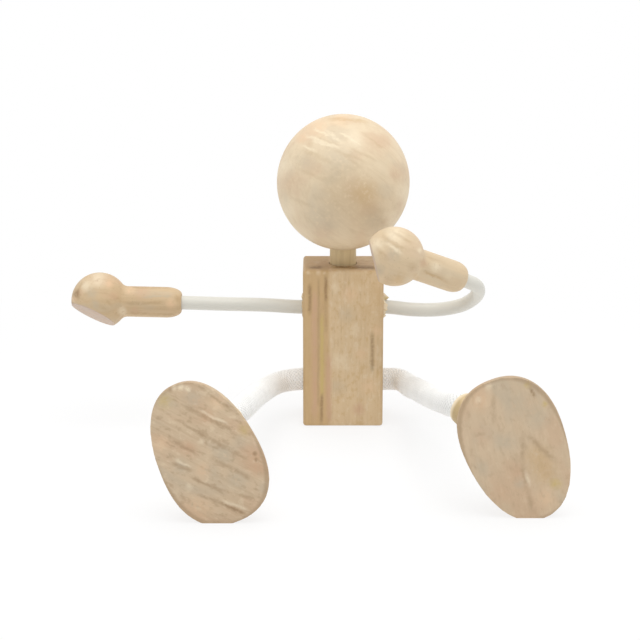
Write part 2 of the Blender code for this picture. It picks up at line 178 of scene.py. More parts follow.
# Marks in the wood, and some painted shade and highlights, as they lie when seen from the front, in mm from
# the middle of their piece. After each colour and its strength come spots (across, up, reach) and lines
# (across, up, across, up, reach).
TO_MM = 1000.0
SEEN_UP = Vector((0.0, 0.264, 0.9645))
MARK_WAVER = (330.0, 4.0, 0.65)
MARK_FADE = (-0.004, 0.0)
MARKS = {
    "head": [
        ("pink", 0.35, (-15.6, -0.5, 6.0), (-6.1, -15.5, 5.0), (10.4, 10.5, 6.5), (16.5, 2.0, 5.0)),
        ("peach", 0.50, (-7.6, 16.0, 6.0), (-1.0, 18.0, 4.5), (-12.5, 12.5, 3.0)),
        ("grey", 0.40, (-6.6, -11.5, 8.0), (-1.5, 4.0, 9.0), (9.0, -12.0, 6.0), (-11.0, 5.0, 5.0)),
        # Painted shade: this broad dark spot darkens the middle and lower front of the head
        ("head_dark", 0.55, (2.0, -5.0, 12.0)),
        ("torso_gold", 0.50, (6.6, -4.4, 6.0), (-5.0, 18.3, 8.0, 17.3, 1.2)),
        # Painted highlight: the four fair spots at the head's left and right sides lighten it towards its
        # edges
        ("fair", 0.50,
            (3.5, 11.5, 5.0), (-17.8, 4.0, 5.5), (-16.5, -8.5, 5.0), (17.8, -4.0, 5.0), (14.0, -11.0, 4.0),
        ),
        ("fair", 0.60,
            (-11.5, 13.0, -0.6, 8.5, 1.0), (-9.5, 11.2, -3.0, 8.8, 0.7), (-5.5, 14.5, -0.4, 10.4, 0.9),
            (-9.0, 15.0, -4.0, 12.5, 0.6), (-1.0, 13.5, 5.0, 9.5, 0.6), (-12.5, 10.0, -7.5, 7.8, 0.6),
        ),
        ("head_dark", 0.30,
            (-8.0, 12.3, -1.0, 9.4, 0.6), (-3.0, 8.0, 6.5, 4.4, 1.0), (-12.0, 8.5, -3.0, 4.0, 1.2),
            (1.0, 9.0, 9.5, 5.0, 0.7), (-14.0, 3.0, -5.0, -1.0, 0.9), (5.0, 14.0, 12.0, 8.5, 0.7),
            (0.0, 6.4, 5.0, 2.6, 0.6), (-16.0, -5.0, -9.0, -8.5, 0.8),
        ),
    ],
    "torso": [
        ("torso_gold", 0.40, (4.1, 18.4, 3.0), (9.8, 14.0, 4.0), (7.0, 9.0, 3.0)),
        ("peach", 0.40, (8.0, -14.0, 4.0), (10.5, 3.0, 3.0), (2.0, 14.0, 3.5), (5.5, -4.0, 3.0)),
        ("grey", 0.35, (1.0, 8.0, 4.0), (-1.5, -14.0, 4.0)),
        ("fair", 0.35, (-1.0, -6.0, 4.5), (3.0, 3.0, 3.0), (-2.5, 16.0, 2.5)),
        ("pink", 0.90, (4.8, -21.0, 3.0), (-8.6, 15.0, -8.5, -24.0, 1.6), (-4.4, -4.0, -4.3, -25.0, 1.4)),
        ("yellow", 0.95, (-6.4, 8.0, -6.4, -17.0, 1.0)),
        # The two level lines near the top in this group are painted shadow of the head on the top edge and
        # top face; the upright lines are grain.
        ("torso_dark", 0.55,
            (-7.4, 19.0, -7.5, -20.0, 0.7), (-5.3, 20.0, -5.2, 2.0, 1.0), (-11.5, 22.0, -3.6, 22.2, 1.4),
            (1.0, 25.0, 11.0, 24.6, 1.0),
        ),
        ("streak", 0.60,
            (-10.1, 17.2, -10.1, 8.0, 0.9), (-6.4, -16.2, -6.5, -25.2, 0.8), (-5.3, 19.0, -5.2, 12.0, 0.7),
            (8.8, 2.6, 8.9, -9.6, 1.0),
        ),
        # Painted shadow of the head along the torso's top front edge
        ("streak", 0.90, (-3.4, 22.3, 10.5, 22.0, 1.0), (-10.5, 22.0, -6.0, 22.2, 0.8)),
        ("fair", 0.40, (-10.5, 20.5, 1.0), (-7.6, 20.6, 1.3), (-5.6, 20.4, 0.8), (-8.0, 24.6, 1.8)),
    ],
    "left_hand": [
        ("fair", 0.60, (0.0, 6.5, 4.0), (7.1, -3.1, 2.0), (-3.4, 4.4, 2.8)),
        ("grey", 0.55, (-1.6, 2.1, 2.8), (-0.5, -1.0, 2.0), (-4.0, -2.6, 2.2), (13.0, 1.0, 22.0, 1.4, 0.6)),
        ("pink", 0.60, (13.2, 2.6, 3.6), (11.0, -3.1, 2.0), (5.0, 1.5, 2.0)),
        ("peach", 0.60,
            (-7.5, 0.6, 1.7), (9.5, 3.0, 2.2), (21.9, -1.0, 2.4), (1.8, -7.0, 2.0), (3.4, 5.0, 2.2),
        ),
        ("hand_dark", 0.45,
            (24.0, 0.5, 1.6), (0.8, -1.6, 3.0, -2.7, 0.9), (3.0, 0.2, 4.7, -1.6, 0.9),
            (8.0, -0.8, 20.0, -0.6, 0.9), (9.0, -4.0, 23.0, -4.2, 0.9), (10.0, 4.0, 22.0, 4.0, 0.6),
            (-4.6, 5.6, -5.8, 3.4, 0.8),
        ),
        ("streak", 0.75, (-6.4, 2.1, 2.1), (-8.2, -0.9, 1.1)),
    ],
    "right_hand": [
        ("fair", 0.60,
            (0.2, 6.5, 4.2), (-5.5, 3.0, 3.4), (12.1, -2.9, 2.6), (7.0, 1.6, 1.4), (16.5, -6.0, 3.0),
        ),
        ("grey", 0.60, (-0.6, 0.5, 3.4), (-4.6, -4.0, 2.4)),
        ("torso_gold", 0.55, (1.1, -6.7, 3.0), (6.0, -6.0, 1.6), (9.0, -4.6, 18.0, -8.6, 0.6)),
        ("pink", 0.65, (8.3, -2.0, 1.9)),
        ("fair", 0.60, (10.0, 1.6, 18.0, -1.2, 0.8), (-2.6, 3.6, 2.0, 0.4, 0.8)),
        ("hand_dark", 0.34,
            (-1.9, -7.0, 2.4), (4.9, -3.3, 2.4), (-4.0, 5.6, 3.0, 1.2, 1.1), (-6.0, 2.5, -2.0, -1.0, 1.0),
            (-1.0, 7.0, 5.0, 3.4, 0.9), (9.0, 0.2, 19.0, -3.4, 0.9), (8.0, -4.0, 18.0, -8.0, 0.9),
        ),
    ],
    "left_sole": [
        ("grey", 0.60,
            (9.1, 2.8, 3.6), (8.0, -7.0, 4.6), (-3.7, 15.2, 4.2), (4.6, -0.2, 4.2), (-7.0, -3.5, 3.4),
        ),
        ("peach", 0.50, (3.1, 14.1, 3.8), (-2.6, -15.0, 6.5), (-12.4, 2.8, 4.2), (-1.0, -4.6, 3.4)),
        ("pink", 0.70, (12.2, -0.2, 6.5), (13.4, -3.6, 4.0), (0.5, 9.8, 3.0), (-5.0, 1.8, 3.0)),
        ("yellow", 0.55, (-10.9, 14.1, 3.2), (9.9, 6.6, 2.6)),
        ("foot_dark", 0.60,
            (-9.2, 17.0, 1.2), (-5.6, 12.8, 7.3, 6.0, 1.0), (-2.6, 5.8, 10.7, -1.4, 1.1),
            (-10.1, 4.3, -2.6, -0.2, 1.0), (1.2, -1.0, 12.2, -7.0, 1.1), (-9.7, -2.1, -3.7, -5.1, 1.0),
            (-2.6, -10.8, 3.1, -13.1, 0.8), (7.6, -10.4, 12.2, -12.3, 1.1), (-8.0, 9.4, 0.0, 4.6, 0.7),
            (0.4, 16.2, 6.4, 12.0, 0.7), (-4.4, -6.2, 4.4, -10.0, 0.7),
        ),
        ("streak", 0.60, (12.7, 0.1, 1.0), (12.9, -1.5, 1.0), (3.1, -13.1, 9.9, -16.3, 0.8)),
        # Chips along the sole's top edge, painted paler as a highlight where the edge catches the light above
        ("fair", 0.85, (-8.2, 17.9, 1.4), (-6.4, 17.9, 1.4), (-4.7, 17.3, 1.3)),
        ("fair", 0.50,
            (-4.8, -8.9, 1.6), (-1.2, 3.4, 1.2), (4.0, -12.4, 10.7, -15.2, 0.7),
            (-1.6, 11.8, 5.4, 8.0, 0.6), (-8.8, -1.2, -4.4, -3.6, 0.6),
        ),
    ],
    "right_sole": [
        ("grey", 0.50,
            (-0.7, 13.0, 6.0), (-2.4, 2.4, 4.5), (1.1, -8.7, 2.8), (-9.0, -5.0, 4.0), (5.0, 9.0, 5.5),
        ),
        ("peach", 0.45, (-10.4, 13.4, 5.0), (8.0, -13.0, 4.5)),
        ("pink", 0.35, (0.2, -6.0, 3.4), (-5.1, -12.2, 4.5), (-9.5, 4.0, 4.5)),
        ("torso_gold", 0.50, (5.5, -1.6, 6.0), (7.6, -6.0, 5.5)),
        ("yellow", 0.75, (2.4, 17.6, 1.5), (7.1, 12.5, 1.4), (10.6, -9.0, 2.4)),
        ("foot_dark", 0.55,
            (1.3, 4.2, 1.5, -3.4, 1.2), (1.5, -3.4, 3.3, -11.3, 1.3), (3.3, -11.3, 4.6, -17.0, 1.3),
            (2.0, 4.6, 10.2, -2.9, 1.3),
        ),
        ("foot_dark", 0.40, (-11.7, 3.9, -8.6, 4.6, 0.9), (-6.6, 15.2, -6.4, 6.8, 1.0)),
        ("streak", 0.80, (2.8, 17.0, 4.4, 14.4, 0.8)),
        # The two fair spots at the upper left are painted highlight along the lit edge of the sole
        ("fair", 0.55, (-8.0, 17.2, 1.6), (-10.6, 13.6, 1.4), (2.4, -5.5, 3.6, -10.0, 0.8)),
    ],
}

# Growth rings are counted from this many inward of a piece's middle, so that no number is below zero
RINGS_INSIDE = 40.0

# Where the woods change colour: across the torso, past the torso's side and inside a hand's flat; and inside
# a stub's end, where a painted highlight lies
GOLDEN_STRIP = (-0.0036, -0.0050)
WARM_EDGE = (0.0080, 0.0115)
TORN_TINT = (0.0001, 0.0004)
SAWN_TINT = 0.0003
STUB_END_HIGHLIGHT = (0.0021, 0.0008)

# Torn wood round the arm holes: its height at each side as a share of the burr, its section (shares of its
# wall and height), how ragged it is and its notch.
TORN_SHARES = ((-1, 0.30), (1, 1.0))
TORN_CLEARANCE = 0.0001
TORN_WALL = 0.0009
TORN_ROOT = 0.0006
TORN_SECTION = ((0.0, 0.6), (0.35, 1.0), (1.0, 0.35))
TORN_WAVES = (9, 4)
TORN_RAGGED = 0.25
TORN_FLARE = 0.25
NOTCH_DEPTH = 0.8
NOTCH_ANGLE = 0.55
NOTCH_WIDTH = 0.22

# How finely shapes are divided, and which edges look sharp
NEARLY = 1e-5
SHARP_FROM = math.radians(40)
TORSO_SHARP_FROM = math.radians(50)
CORD_SHARP_FROM = math.radians(60)
HEAD_SIDES = 128
HEAD_ARC = 64
NECK_SIDES = 64
EDGE_ARC = 5
HAND_SIDES = 96
BALL_ARC = 48
WAIST_ARC = 10
TAPER_ARC = 16
FOOT_SIDES = 96
DOME_ARC = 64
STUB_ARC = 6
HOLE_SIDES = 64
TORN_SIDES = 72
SOLE_OUTLINE = 360
ROUTE_STEPS = 24
ARM_RINGS = {"ring_step": 0.0004, "sides": 40}
LEG_RINGS = {"ring_step": 0.0002, "sides": 128}
BORE_STEP = 24
WIRE_STEP = 8
WIRE_SIDES = 16
FOOT_VOXEL = 0.0004
FOOT_SMOOTHING = 10
SOLE_SKIN = 0.00018
NECK_EDGE = 0.0006

# The studio
TOP_LIGHT_SIZE = 0.7
TOP_LIGHT_AT = (0.02, -0.16, 0.75)
NEAREST_SEEN = 0.01
SHADOW_REACH = 0.22
SHADOW_SHARE = 0.26
FLOOR_GLOW = 0.35
SHADOW_MIDDLE = Vector((0.0, -0.04, 0.0))
# Painted light: the cords glow faintly, which lifts their shaded sides
CORD_GLOW = {"Emission_Color": (1.0, 0.99, 0.96, 1.0), "Emission_Strength": 0.07}
CORD_SCATTER = {"Subsurface_Weight": 0.8, "Subsurface_Radius": (1.0, 1.0, 1.0), "Subsurface_Scale": 0.0012}


def colour_property(name, description, default):
    return FloatVectorProperty(
        name=name, description=description, default=default, subtype="COLOR", size=3, min=0.0, max=1.0
    )


def number_property(name, description, default, **more):
    return FloatProperty(name=name, description=description, default=default, min=0.0, **more)


def length_property(name, description, default):
    return number_property(name, description, default, unit="LENGTH", precision=5)


def place_property(name, description, default):
    return FloatVectorProperty(
        name=name, description=description, default=default, subtype="TRANSLATION", unit="LENGTH", size=3,
        precision=5,
    )


class DollSizes(bpy.types.PropertyGroup):
    """Sizes of the doll's finer forms."""

    arm_cord: length_property("Arm cord", "Diameter of the arm cord", 0.0042)
    arm_wire: length_property("Arm wire", "Diameter of the wire in the arm cord", 0.0016)
    leg_cord: length_property("Leg cord", "Diameter of the leg cord over its braid", 0.0069)
    leg_wire: length_property("Leg wire", "Diameter of the wire in the leg cord", 0.0024)
    braid_relief: length_property("Braid relief", "How far the leg cord's strands stand out", 0.00025)
    braid_strands: IntProperty(
        name="Braid strands", description="Strands that run each way round the leg cord",
        default=16, min=4, max=32,
    )
    torso_edge: length_property("Torso edge", "Radius of the sanded edges of the torso", 0.0009)
    flat_edge: length_property("Flat edge", "Soft edge of the flat sawn on each hand", 0.0004)
    burr: length_property("Burr", "How far torn wood stands out round the arm holes", 0.0021)
    ring_width: length_property("Ring width", "Width of the wood's growth rings", 0.0042)


class DollColours(bpy.types.PropertyGroup):
    """Colours of the doll's woods and cords, linear."""

    # The dark tones of the head, torso and feet and the streak colour also serve as painted shade, and fair
    # as
    # painted highlight.
    head_pale: colour_property("Head, pale", "Early wood of the head", (0.76, 0.62, 0.43))
    head_dark: colour_property("Head, dark", "Late wood of the head", (0.56, 0.41, 0.235))
    neck_pale: colour_property("Neck, pale", "Early wood of the neck dowel", (0.80, 0.66, 0.40))
    neck_dark: colour_property("Neck, dark", "Late wood of the neck dowel", (0.56, 0.42, 0.22))
    torso_pale: colour_property("Torso, pale", "The torso's paler panel", (0.69, 0.515, 0.31))
    torso_dark: colour_property("Torso, dark", "Late wood of the torso", (0.46, 0.30, 0.15))
    torso_gold: colour_property("Torso, gold", "The golden strip at the torso's left", (0.58, 0.385, 0.18))
    hand_pale: colour_property("Hand, pale", "Early wood of the hands", (0.62, 0.455, 0.27))
    hand_dark: colour_property("Hand, dark", "Late wood of the hands", (0.43, 0.285, 0.14))
    foot_pale: colour_property("Foot, pale", "Early wood of the feet", (0.645, 0.495, 0.33))
    foot_dark: colour_property("Foot, dark", "Late wood of the feet", (0.40, 0.27, 0.155))
    fair: colour_property("Fair", "Fair streaks and chips in the wood", (0.88, 0.76, 0.56))
    peach: colour_property("Peach", "Warm spots in the wood", (0.80, 0.55, 0.34))
    sawn: colour_property("Sawn", "Sawn end grain", (0.54, 0.43, 0.37))
    pink: colour_property("Pink", "Pinkish bands in the wood", (0.61, 0.39, 0.24))
    yellow: colour_property("Yellow", "Yellowish bands in the wood", (0.60, 0.45, 0.17))
    grey: colour_property("Grey", "Greyish bands in the wood", (0.52, 0.44, 0.32))
    streak: colour_property("Streak", "Dark streaks in the wood", (0.26, 0.145, 0.055))
    arm_cord: colour_property("Arm cord", "The smooth arm cord", (0.63, 0.615, 0.55))
    leg_cord: colour_property("Leg cord", "The braided leg cord", (0.95, 0.95, 0.94))
    cord_dark: colour_property("Cord, dark", "Shade between the leg cord's strands", (0.55, 0.55, 0.53))
    wire: colour_property("Wire", "Steel of the wire cores", (0.42, 0.42, 0.43))
    wire_dark: colour_property("Wire, dark", "Scuffs on the wire cores", (0.30, 0.30, 0.31))
    floor: colour_property("Floor", "The studio floor", (0.90, 0.90, 0.90))
    floor_grain: colour_property("Floor, grain", "Fine grain of the studio floor", (0.80, 0.80, 0.80))


class DollStage(bpy.types.PropertyGroup):
    """The studio: camera and lights."""

    camera_at: place_property("Camera", "Where the camera stands", (-0.007, -0.58259, 0.19038))
    camera_to: place_property("Looks at", "What the camera looks at", (-0.007, 0.0, 0.031))
    focal_pixels: number_property("Focal length", "Focal length in pixels of the square image", 1967.0)
    top_light: number_property("Top light", "Power of the soft light above", 3.0, unit="POWER")
    room_light: number_property("Room light", "Strength of the light from all round", 0.90)
    front_shade: number_property("Front shade", "How much dimmer the camera's side is", 0.50, max=1.0)
    floor_size: length_property("Floor size", "Side of the floor", 6.0)


class Value:
    """A socket in a tree of nodes, or only the tree. Sums written with values add Math nodes."""

    def __init__(self, tree, socket=None):
        self.tree = tree
        self.socket = socket

    def node(self, kind, settings, inputs, out=0):
        """An output of a new node: its settings are set first, then its sockets' values or links."""
        made = self.tree.nodes.new(kind)
        for name, setting in settings.items():
            setattr(made, name, setting)
        for name, given in inputs.items():
            if isinstance(given, Value):
                self.tree.links.new(given.socket, made.inputs[name])
            else:
                made.inputs[name].default_value = given
        return Value(self.tree, made.outputs[out])

    def math(self, operation, first, second=0.0):
        return self.node("ShaderNodeMath", {"operation": operation}, {0: first, 1: second})

    def __add__(self, other):
        return self.math("ADD", self, other)

    __radd__ = __add__

    def __sub__(self, other):
        return self.math("SUBTRACT", self, other)

    def __rsub__(self, other):
        return self.math("SUBTRACT", other, self)

    def __mul__(self, other):
        return self.math("MULTIPLY", self, other)

    __rmul__ = __mul__

    def __truediv__(self, other):
        return self.math("DIVIDE", self, other)

    def __rtruediv__(self, other):
        return self.math("DIVIDE", other, self)

    def __abs__(self):
        return self.math("ABSOLUTE", self)


def step(value, low, high):
    """Rises smoothly from 0 at low to 1 at high. It falls where low is the larger."""
    return value.node(
        "ShaderNodeMapRange",
        {"interpolation_type": "SMOOTHSTEP"},
        {"Value": value, "From Min": low, "From Max": high},
    )


def near(value, centre, reach):
    """1 where a value is at a centre, falling to 0 at a reach from it."""
    return step(abs(value - centre), reach, 0.0)


def vector_math(operation, first, second, out=0):
    return first.node("ShaderNodeVectorMath", {"operation": operation}, {0: first, 1: second}, out)


def stretched(vector, scale):
    """A vector times a scale for each axis."""
    return vector_math("MULTIPLY", vector, scale)


def noise(vector, scale, detail=2.0, roughness=0.5):
    return vector.node(
        "ShaderNodeTexNoise", {}, {"Vector": vector, "Scale": scale, "Detail": detail, "Roughness": roughness}
    )


def spot(vector, centre, reach):
    """1 at a point, falling to 0 at a reach from it."""
    return step(vector_math("DISTANCE", vector, centre, "Value"), reach, 0.0)


def along_way(vector, origin, way):
    """How far each point lies from an origin along a way."""
    way = Vector(way).normalized()
    return vector_math("DOT_PRODUCT", vector, way, "Value") - Vector(origin).dot(way)


def axes(vector):
    """The three values of a vector."""
    first = vector.node("ShaderNodeSeparateXYZ", {}, {0: vector})
    return [Value(vector.tree, socket) for socket in first.socket.node.outputs]


def mix(factor, first, second):
    """A colour between two, which are values or plain colours."""
    given = [item if isinstance(item, Value) else (*item, 1.0) for item in (first, second)]
    return factor.node("ShaderNodeMix", {"data_type": "RGBA"}, {0: factor, 6: given[0], 7: given[1]}, out=2)


def tinted(colour, value, low, high, share, tone):
    """A colour that a share of a tone is mixed into, the more so as a value goes from low to high."""
    return mix(step(value, low, high) * share, colour, tone)


class Finish:
    """A material with its shader, and the place or attribute that its pattern reads."""

    def __init__(self, name, attribute=None):
        self.material = bpy.data.materials.new(name)
        self.material.use_nodes = True
        self.tree = self.material.node_tree
        self.shader = self.tree.nodes["Principled BSDF"]
        if attribute:
            self.place = self.attribute(attribute, "Vector")
        else:
            self.place = Value(self.tree).node("ShaderNodeTexCoord", {}, {}, "Object")

    def attribute(self, name, output):
        return Value(self.tree).node("ShaderNodeAttribute", {"attribute_name": name}, {}, output)

    def wear(self, colour, roughness, height=None, depth=0.0, **constants):
        """Links what varies, and sets what is the same all over on the shader itself."""
        self.tree.links.new(colour.socket, self.shader.inputs["Base Color"])
        self.tree.links.new(roughness.socket, self.shader.inputs["Roughness"])
        if height is not None:
            bump = height.node("ShaderNodeBump", {}, {"Height": height, "Strength": 1.0, "Distance": depth})
            self.tree.links.new(bump.socket, self.shader.inputs["Normal"])
        for name, constant in constants.items():
            self.shader.inputs[name.replace("_", " ")].default_value = constant
        return self.material


class Board:
    """The grain at each point of a piece, from how the piece lay in its board.

    middle is a point of the piece, along the way of the grain, and outward the way from the
    pith, which lies pith_distance inward of the middle.
    """

    def __init__(self, place, middle, along, outward, pith_distance, ring_width, phase=0.0, wander=0.0012):
        turn = pointing(along, outward).to_euler()
        self.own = place.node(
            "ShaderNodeMapping",
            {"vector_type": "TEXTURE"},
            {"Vector": place, "Location": middle, "Rotation": turn},
        )
        out, across, _ = axes(self.own)
        sway = (self.pattern(0.25, 95.0, 1.0) - 0.5) * (2.0 * wander)
        far = out + pith_distance
        distance = sway.math("SQRT", far * far + across * across) - pith_distance + sway
        turns = distance / ring_width + (phase + RINGS_INSIDE)
        inside = turns.math("FRACT", turns)
        own_tone = turns.node(
            "ShaderNodeTexWhiteNoise", {"noise_dimensions": "1D"}, {"W": turns.math("FLOOR", turns)}
        )
        late = step(inside, 0.30, 0.93) * step(inside, 1.0, 0.94)
        self.rings = late * (own_tone * 0.7 + 0.3)
        broken = step(self.pattern(0.3, 330.0), 0.44, 0.60)
        self.lines = near(inside, 0.92, 0.085) * broken
        self.fibres = self.pattern(0.035, 2300.0, 3.0, 0.65)
        self.streaks = self.pattern(0.05, 620.0, 2.0, 0.6)
        self.pores = step(self.pattern(0.06, 4200.0, 1.0), 0.66, 0.76)
        self.blotches = self.pattern(0.5, 110.0)

    def pattern(self, along, *texture):
        """Noise that runs along the grain. The smaller along is, the longer its forms are."""
        return noise(stretched(self.own, (1.0, 1.0, along)), *texture)

    def colour(self, pale, dark, rings, streaks, fibres=0.35, pores=0.2, blotches=0.5):
        """Pale early wood, darkened by the late wood, the fibres and the pores."""
        share = (
            self.rings * rings
            + step(self.streaks, 0.42, 0.78) * streaks
            + (self.fibres - 0.5) * fibres
            + self.pores * pores
            + (self.blotches - 0.5) * blotches
        )
        return mix(share, pale, dark)

    def sanded(self):
        """Roughness of bare sanded wood."""
        return (self.fibres - 0.5) * 0.16 + self.pores * 0.12 + 0.56

    def relief(self):
        """Height of the fibres and pores, from 0 to 1."""
        return self.fibres * 0.6 - self.pores * 0.7 + self.rings * 0.25 - self.lines * 0.6


def pointing(axis, side_hint):
    """A rotation that takes +Z to axis and +X as near as it can to side_hint."""
    up = Vector(axis).normalized()
    side = Vector(side_hint)
    side = (side - up * side.dot(up)).normalized()
    return Matrix((side, up.cross(side), up)).transposed().to_4x4()


def arc(centre, radius, first, last, steps):
    """Points (radius, height) on an arc, with angles measured from the outward direction."""
    points = []
    for index in range(steps + 1):
        angle = first + (last - first) * index / steps
        points.append((centre[0] + radius * math.cos(angle), centre[1] + radius * math.sin(angle)))
    return points


def turned(profile, steps, closed=False):
    """A solid of revolution about Z from a profile of (radius, height).

    The profile starts and ends on the axis, or else it is closed and its end joins its start.
    """
    bm = bmesh.new()
    row = [bm.verts.new((radius, 0.0, height)) for radius, height in profile]
    following = row[1:] + row[:1] if closed else row[1:]
    edges = [bm.edges.new(pair) for pair in zip(row, following)]
    bmesh.ops.spin(
        bm, geom=row + edges, cent=(0, 0, 0), axis=(0, 0, 1), angle=math.tau, steps=steps, use_merge=True
    )
    bmesh.ops.remove_doubles(bm, verts=bm.verts, dist=SAME_POINT)
    bmesh.ops.recalc_face_normals(bm, faces=bm.faces)
    return bm


def cut_flat(bm, point, normal):
    """Cuts off what lies beyond a plane, closes the cut with one flat face and gives its rim."""
    made = bmesh.ops.bisect_plane(
        bm,
        geom=bm.verts[:] + bm.edges[:] + bm.faces[:],
        plane_co=point,
        plane_no=normal,
        clear_outer=True,
        dist=SAME_POINT,
    )
    rim = [item for item in made["geom_cut"] if isinstance(item, bmesh.types.BMEdge)]
    bmesh.ops.edgeloop_fill(bm, edges=rim)
    return rim


def soften(bm, edges, offset, segments=3):
    bmesh.ops.bevel(
        bm, geom=edges, offset=offset, segments=segments, profile=0.5, affect="EDGES", material=-1,
        clamp_overlap=True,
    )


def add_piece(name, bm, material, nodes, sharp_from=SHARP_FROM):
    """A finished piece, which stands for its solids and takes the finish given to it."""
    bmesh.ops.recalc_face_normals(bm, faces=bm.faces)
    mesh = bpy.data.meshes.new(name)
    bm.to_mesh(mesh)
    bm.free()
    mesh.shade_smooth()
    mesh.set_sharp_from_angle(angle=sharp_from)
    mesh.materials.append(material)
    piece = bpy.data.objects.new(name, mesh)
    bpy.context.scene.collection.objects.link(piece)
    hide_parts(*nodes)
    return piece


def shape_from(bm, name):
    """A shape that only joins or cuts another. It isn't part of the scene."""
    bmesh.ops.recalc_face_normals(bm, faces=bm.faces)
    mesh = bpy.data.meshes.new(name)
    bm.to_mesh(mesh)
    bm.free()
    return bpy.data.objects.new(name, mesh)


def rod(name, radius, start, end):
    """A round shape from start to end."""
    run = Vector(end) - Vector(start)
    bm = bmesh.new()
    bmesh.ops.create_cone(
        bm, cap_ends=True, segments=HOLE_SIDES, radius1=radius, radius2=radius, depth=run.length
    )
    turn = run.to_track_quat("Z", "Y").to_matrix().to_4x4()
    bmesh.ops.transform(bm, matrix=Matrix.Translation(Vector(start) + run / 2) @ turn, verts=bm.verts)
    return shape_from(bm, name)


def boolean(operation, shape):
    """A modifier, as the function below takes it, that joins a shape to another or cuts it away."""
    return "BOOLEAN", {"operation": operation, "solver": "EXACT", "object": shape}


def worked(shape, modifiers):
    """A bmesh of a shape after some modifiers, each given as its type and settings.

    The shapes it works with are removed.
    """
    scene = bpy.context.scene
    helpers = [shape]
    scene.collection.objects.link(shape)
    for kind, settings in modifiers:
        modifier = shape.modifiers.new(kind, kind)
        for name, setting in settings.items():
            setattr(modifier, name, setting)
        helper = settings.get("object")
        if helper:
            scene.collection.objects.link(helper)
            helpers.append(helper)
    graph = bpy.context.evaluated_depsgraph_get()
    bm = bmesh.new()
    bm.from_mesh(shape.evaluated_get(graph).to_mesh())
    for helper in helpers:
        bpy.data.meshes.remove(helper.data)
    # A vertex with two edges only would leave doubled triangles.
    bmesh.ops.dissolve_verts(bm, verts=[vert for vert in bm.verts if len(vert.link_edges) == 2])
    return bm


def smooth_route(points, first_way, last_way):
    """Closely spaced points on a smooth curve through the given points, with set end directions."""
    points = [Vector(point) for point in points]
    times = [0.0]
    for before, after in zip(points, points[1:]):
        times.append(times[-1] + (after - before).length)
    ways = [Vector(first_way).normalized()]
    for index in range(1, len(points) - 1):
        span = times[index + 1] - times[index - 1]
        ways.append((points[index + 1] - points[index - 1]) / span)
    ways.append(Vector(last_way).normalized())
    line = []
    for index in range(len(points) - 1):
        span = times[index + 1] - times[index]
        for part in range(ROUTE_STEPS):
            t = part / ROUTE_STEPS
            line.append(
                points[index] * (2 * t**3 - 3 * t**2 + 1)
                + ways[index] * (t**3 - 2 * t**2 + t) * span
                + points[index + 1] * (3 * t**2 - 2 * t**3)
                + ways[index + 1] * (t**3 - t**2) * span
            )
    line.append(points[-1])
    return line


def lengths_along(line):
    along = [0.0]
    for before, after in zip(line, line[1:]):
        along.append(along[-1] + (after - before).length)
    return along


def points_along(line, distances):
    """The points at rising distances along a line."""
    along = lengths_along(line)
    found = []
    index = 0
    for distance in distances:
        while index < len(line) - 2 and distance > along[index + 1]:
            index += 1
        way = (line[index + 1] - line[index]).normalized()
        found.append(line[index] + way * (distance - along[index]))
    return found


def egg_point(x, y, narrow_end):
    """Where a point of the unit circle's disc lies on the sole: a squarish oval, narrower at one end."""
    size = (abs(x) ** SOLE_SQUARENESS + abs(y) ** SOLE_SQUARENESS) ** (1.0 / SOLE_SQUARENESS)
    grow = math.hypot(x, y) / max(size, SAME_POINT)
    width = SOLE_WIDTH / 2 * (1.0 - EGG_TAPER * narrow_end * y * grow)
    return x * grow * width, y * grow * SOLE_LENGTH / 2


def foot_frame(limb):
    """The sole's centre, the way its long axis runs upwards, and where the ankle starts and ends."""
    tilt = limb["sole_tilt"]
    lowest = 0.0
    for across, along in arc((0.0, 0.0), 1.0, 0.0, math.tau, SOLE_OUTLINE):
        across, along = egg_point(across, along, limb["narrow_end"])
        lowest = min(lowest, across * math.sin(tilt) + along * math.cos(tilt))
    out = limb["side"] * (HALF_TORSO + limb["foot_out"])
    centre = Vector((out, -limb["foot_forward"], -lowest - FOOT_REST_CUT))
    long_way = Vector((-math.sin(tilt), 0.0, math.cos(tilt)))
    across, up = limb["ankle_towards"]
    leaning = Vector((across, 0.0, up)).normalized()
    ankle = BACK * math.cos(limb["ankle_lean"]) + leaning * math.sin(limb["ankle_lean"])
    start = centre + long_way * ANKLE_ABOVE_CENTRE
    return centre, long_way, start, start + ankle * ANKLE_REACH


def hand_frame(limb):
    """Where a hand's stem ends, the way the hand points, its ball's centre and the way its flat faces."""
    at = Vector((limb["side"] * HALF_TORSO, 0.0, ARM_HEIGHT)) + Vector(limb["hand_at"])
    turn = pointing(limb["hand_axis"], limb["hand_flat_faces"]).to_3x3()
    lean = limb["hand_flat_lean"]
    flat_way = turn @ Vector((math.sin(lean), 0.0, math.cos(lean)))
    axis = turn.col[2]
    return at, axis, at + axis * (HAND_LENGTH - HAND_BALL / 2), flat_way


def limb_line(limb, kind):
    """The centre line of half a cord, from the middle of the torso to its end in a hand or foot."""
    height = ARM_HEIGHT if kind == "arm" else LEG_HEIGHT
    exit_point = Vector((limb["side"] * HALF_TORSO, 0.0, height))
    if kind == "arm":
        end_point, way, _, _ = hand_frame(limb)
    else:
        _, _, ankle_start, end_point = foot_frame(limb)
        way = (ankle_start - end_point).normalized()
    points = [exit_point] + [exit_point + Vector(offset) for offset in limb[kind + "_route"]] + [end_point]
    line = smooth_route(points, (limb["side"], 0, 0), way)
    return [Vector((0.0, 0.0, height))] + line + [end_point + way * CORD_IN_END]


def ring_places(line, ring_step):
    """Distances along a line, and matrices there whose +Z runs along it without twisting round it."""
    total = lengths_along(line)[-1]
    count = round(total / ring_step)
    distances = [total * index / count for index in range(count + 1)]
    points = points_along(line, distances)
    side = Vector((0.0, 0.0, 1.0))
    places = []
    for index, point in enumerate(points):
        way = points[min(index + 1, count)] - points[max(index - 1, 0)]
        turn = pointing(way, side)
        side = turn.col[0].to_3d()
        places.append(Matrix.Translation(point) @ turn)
    return distances, places


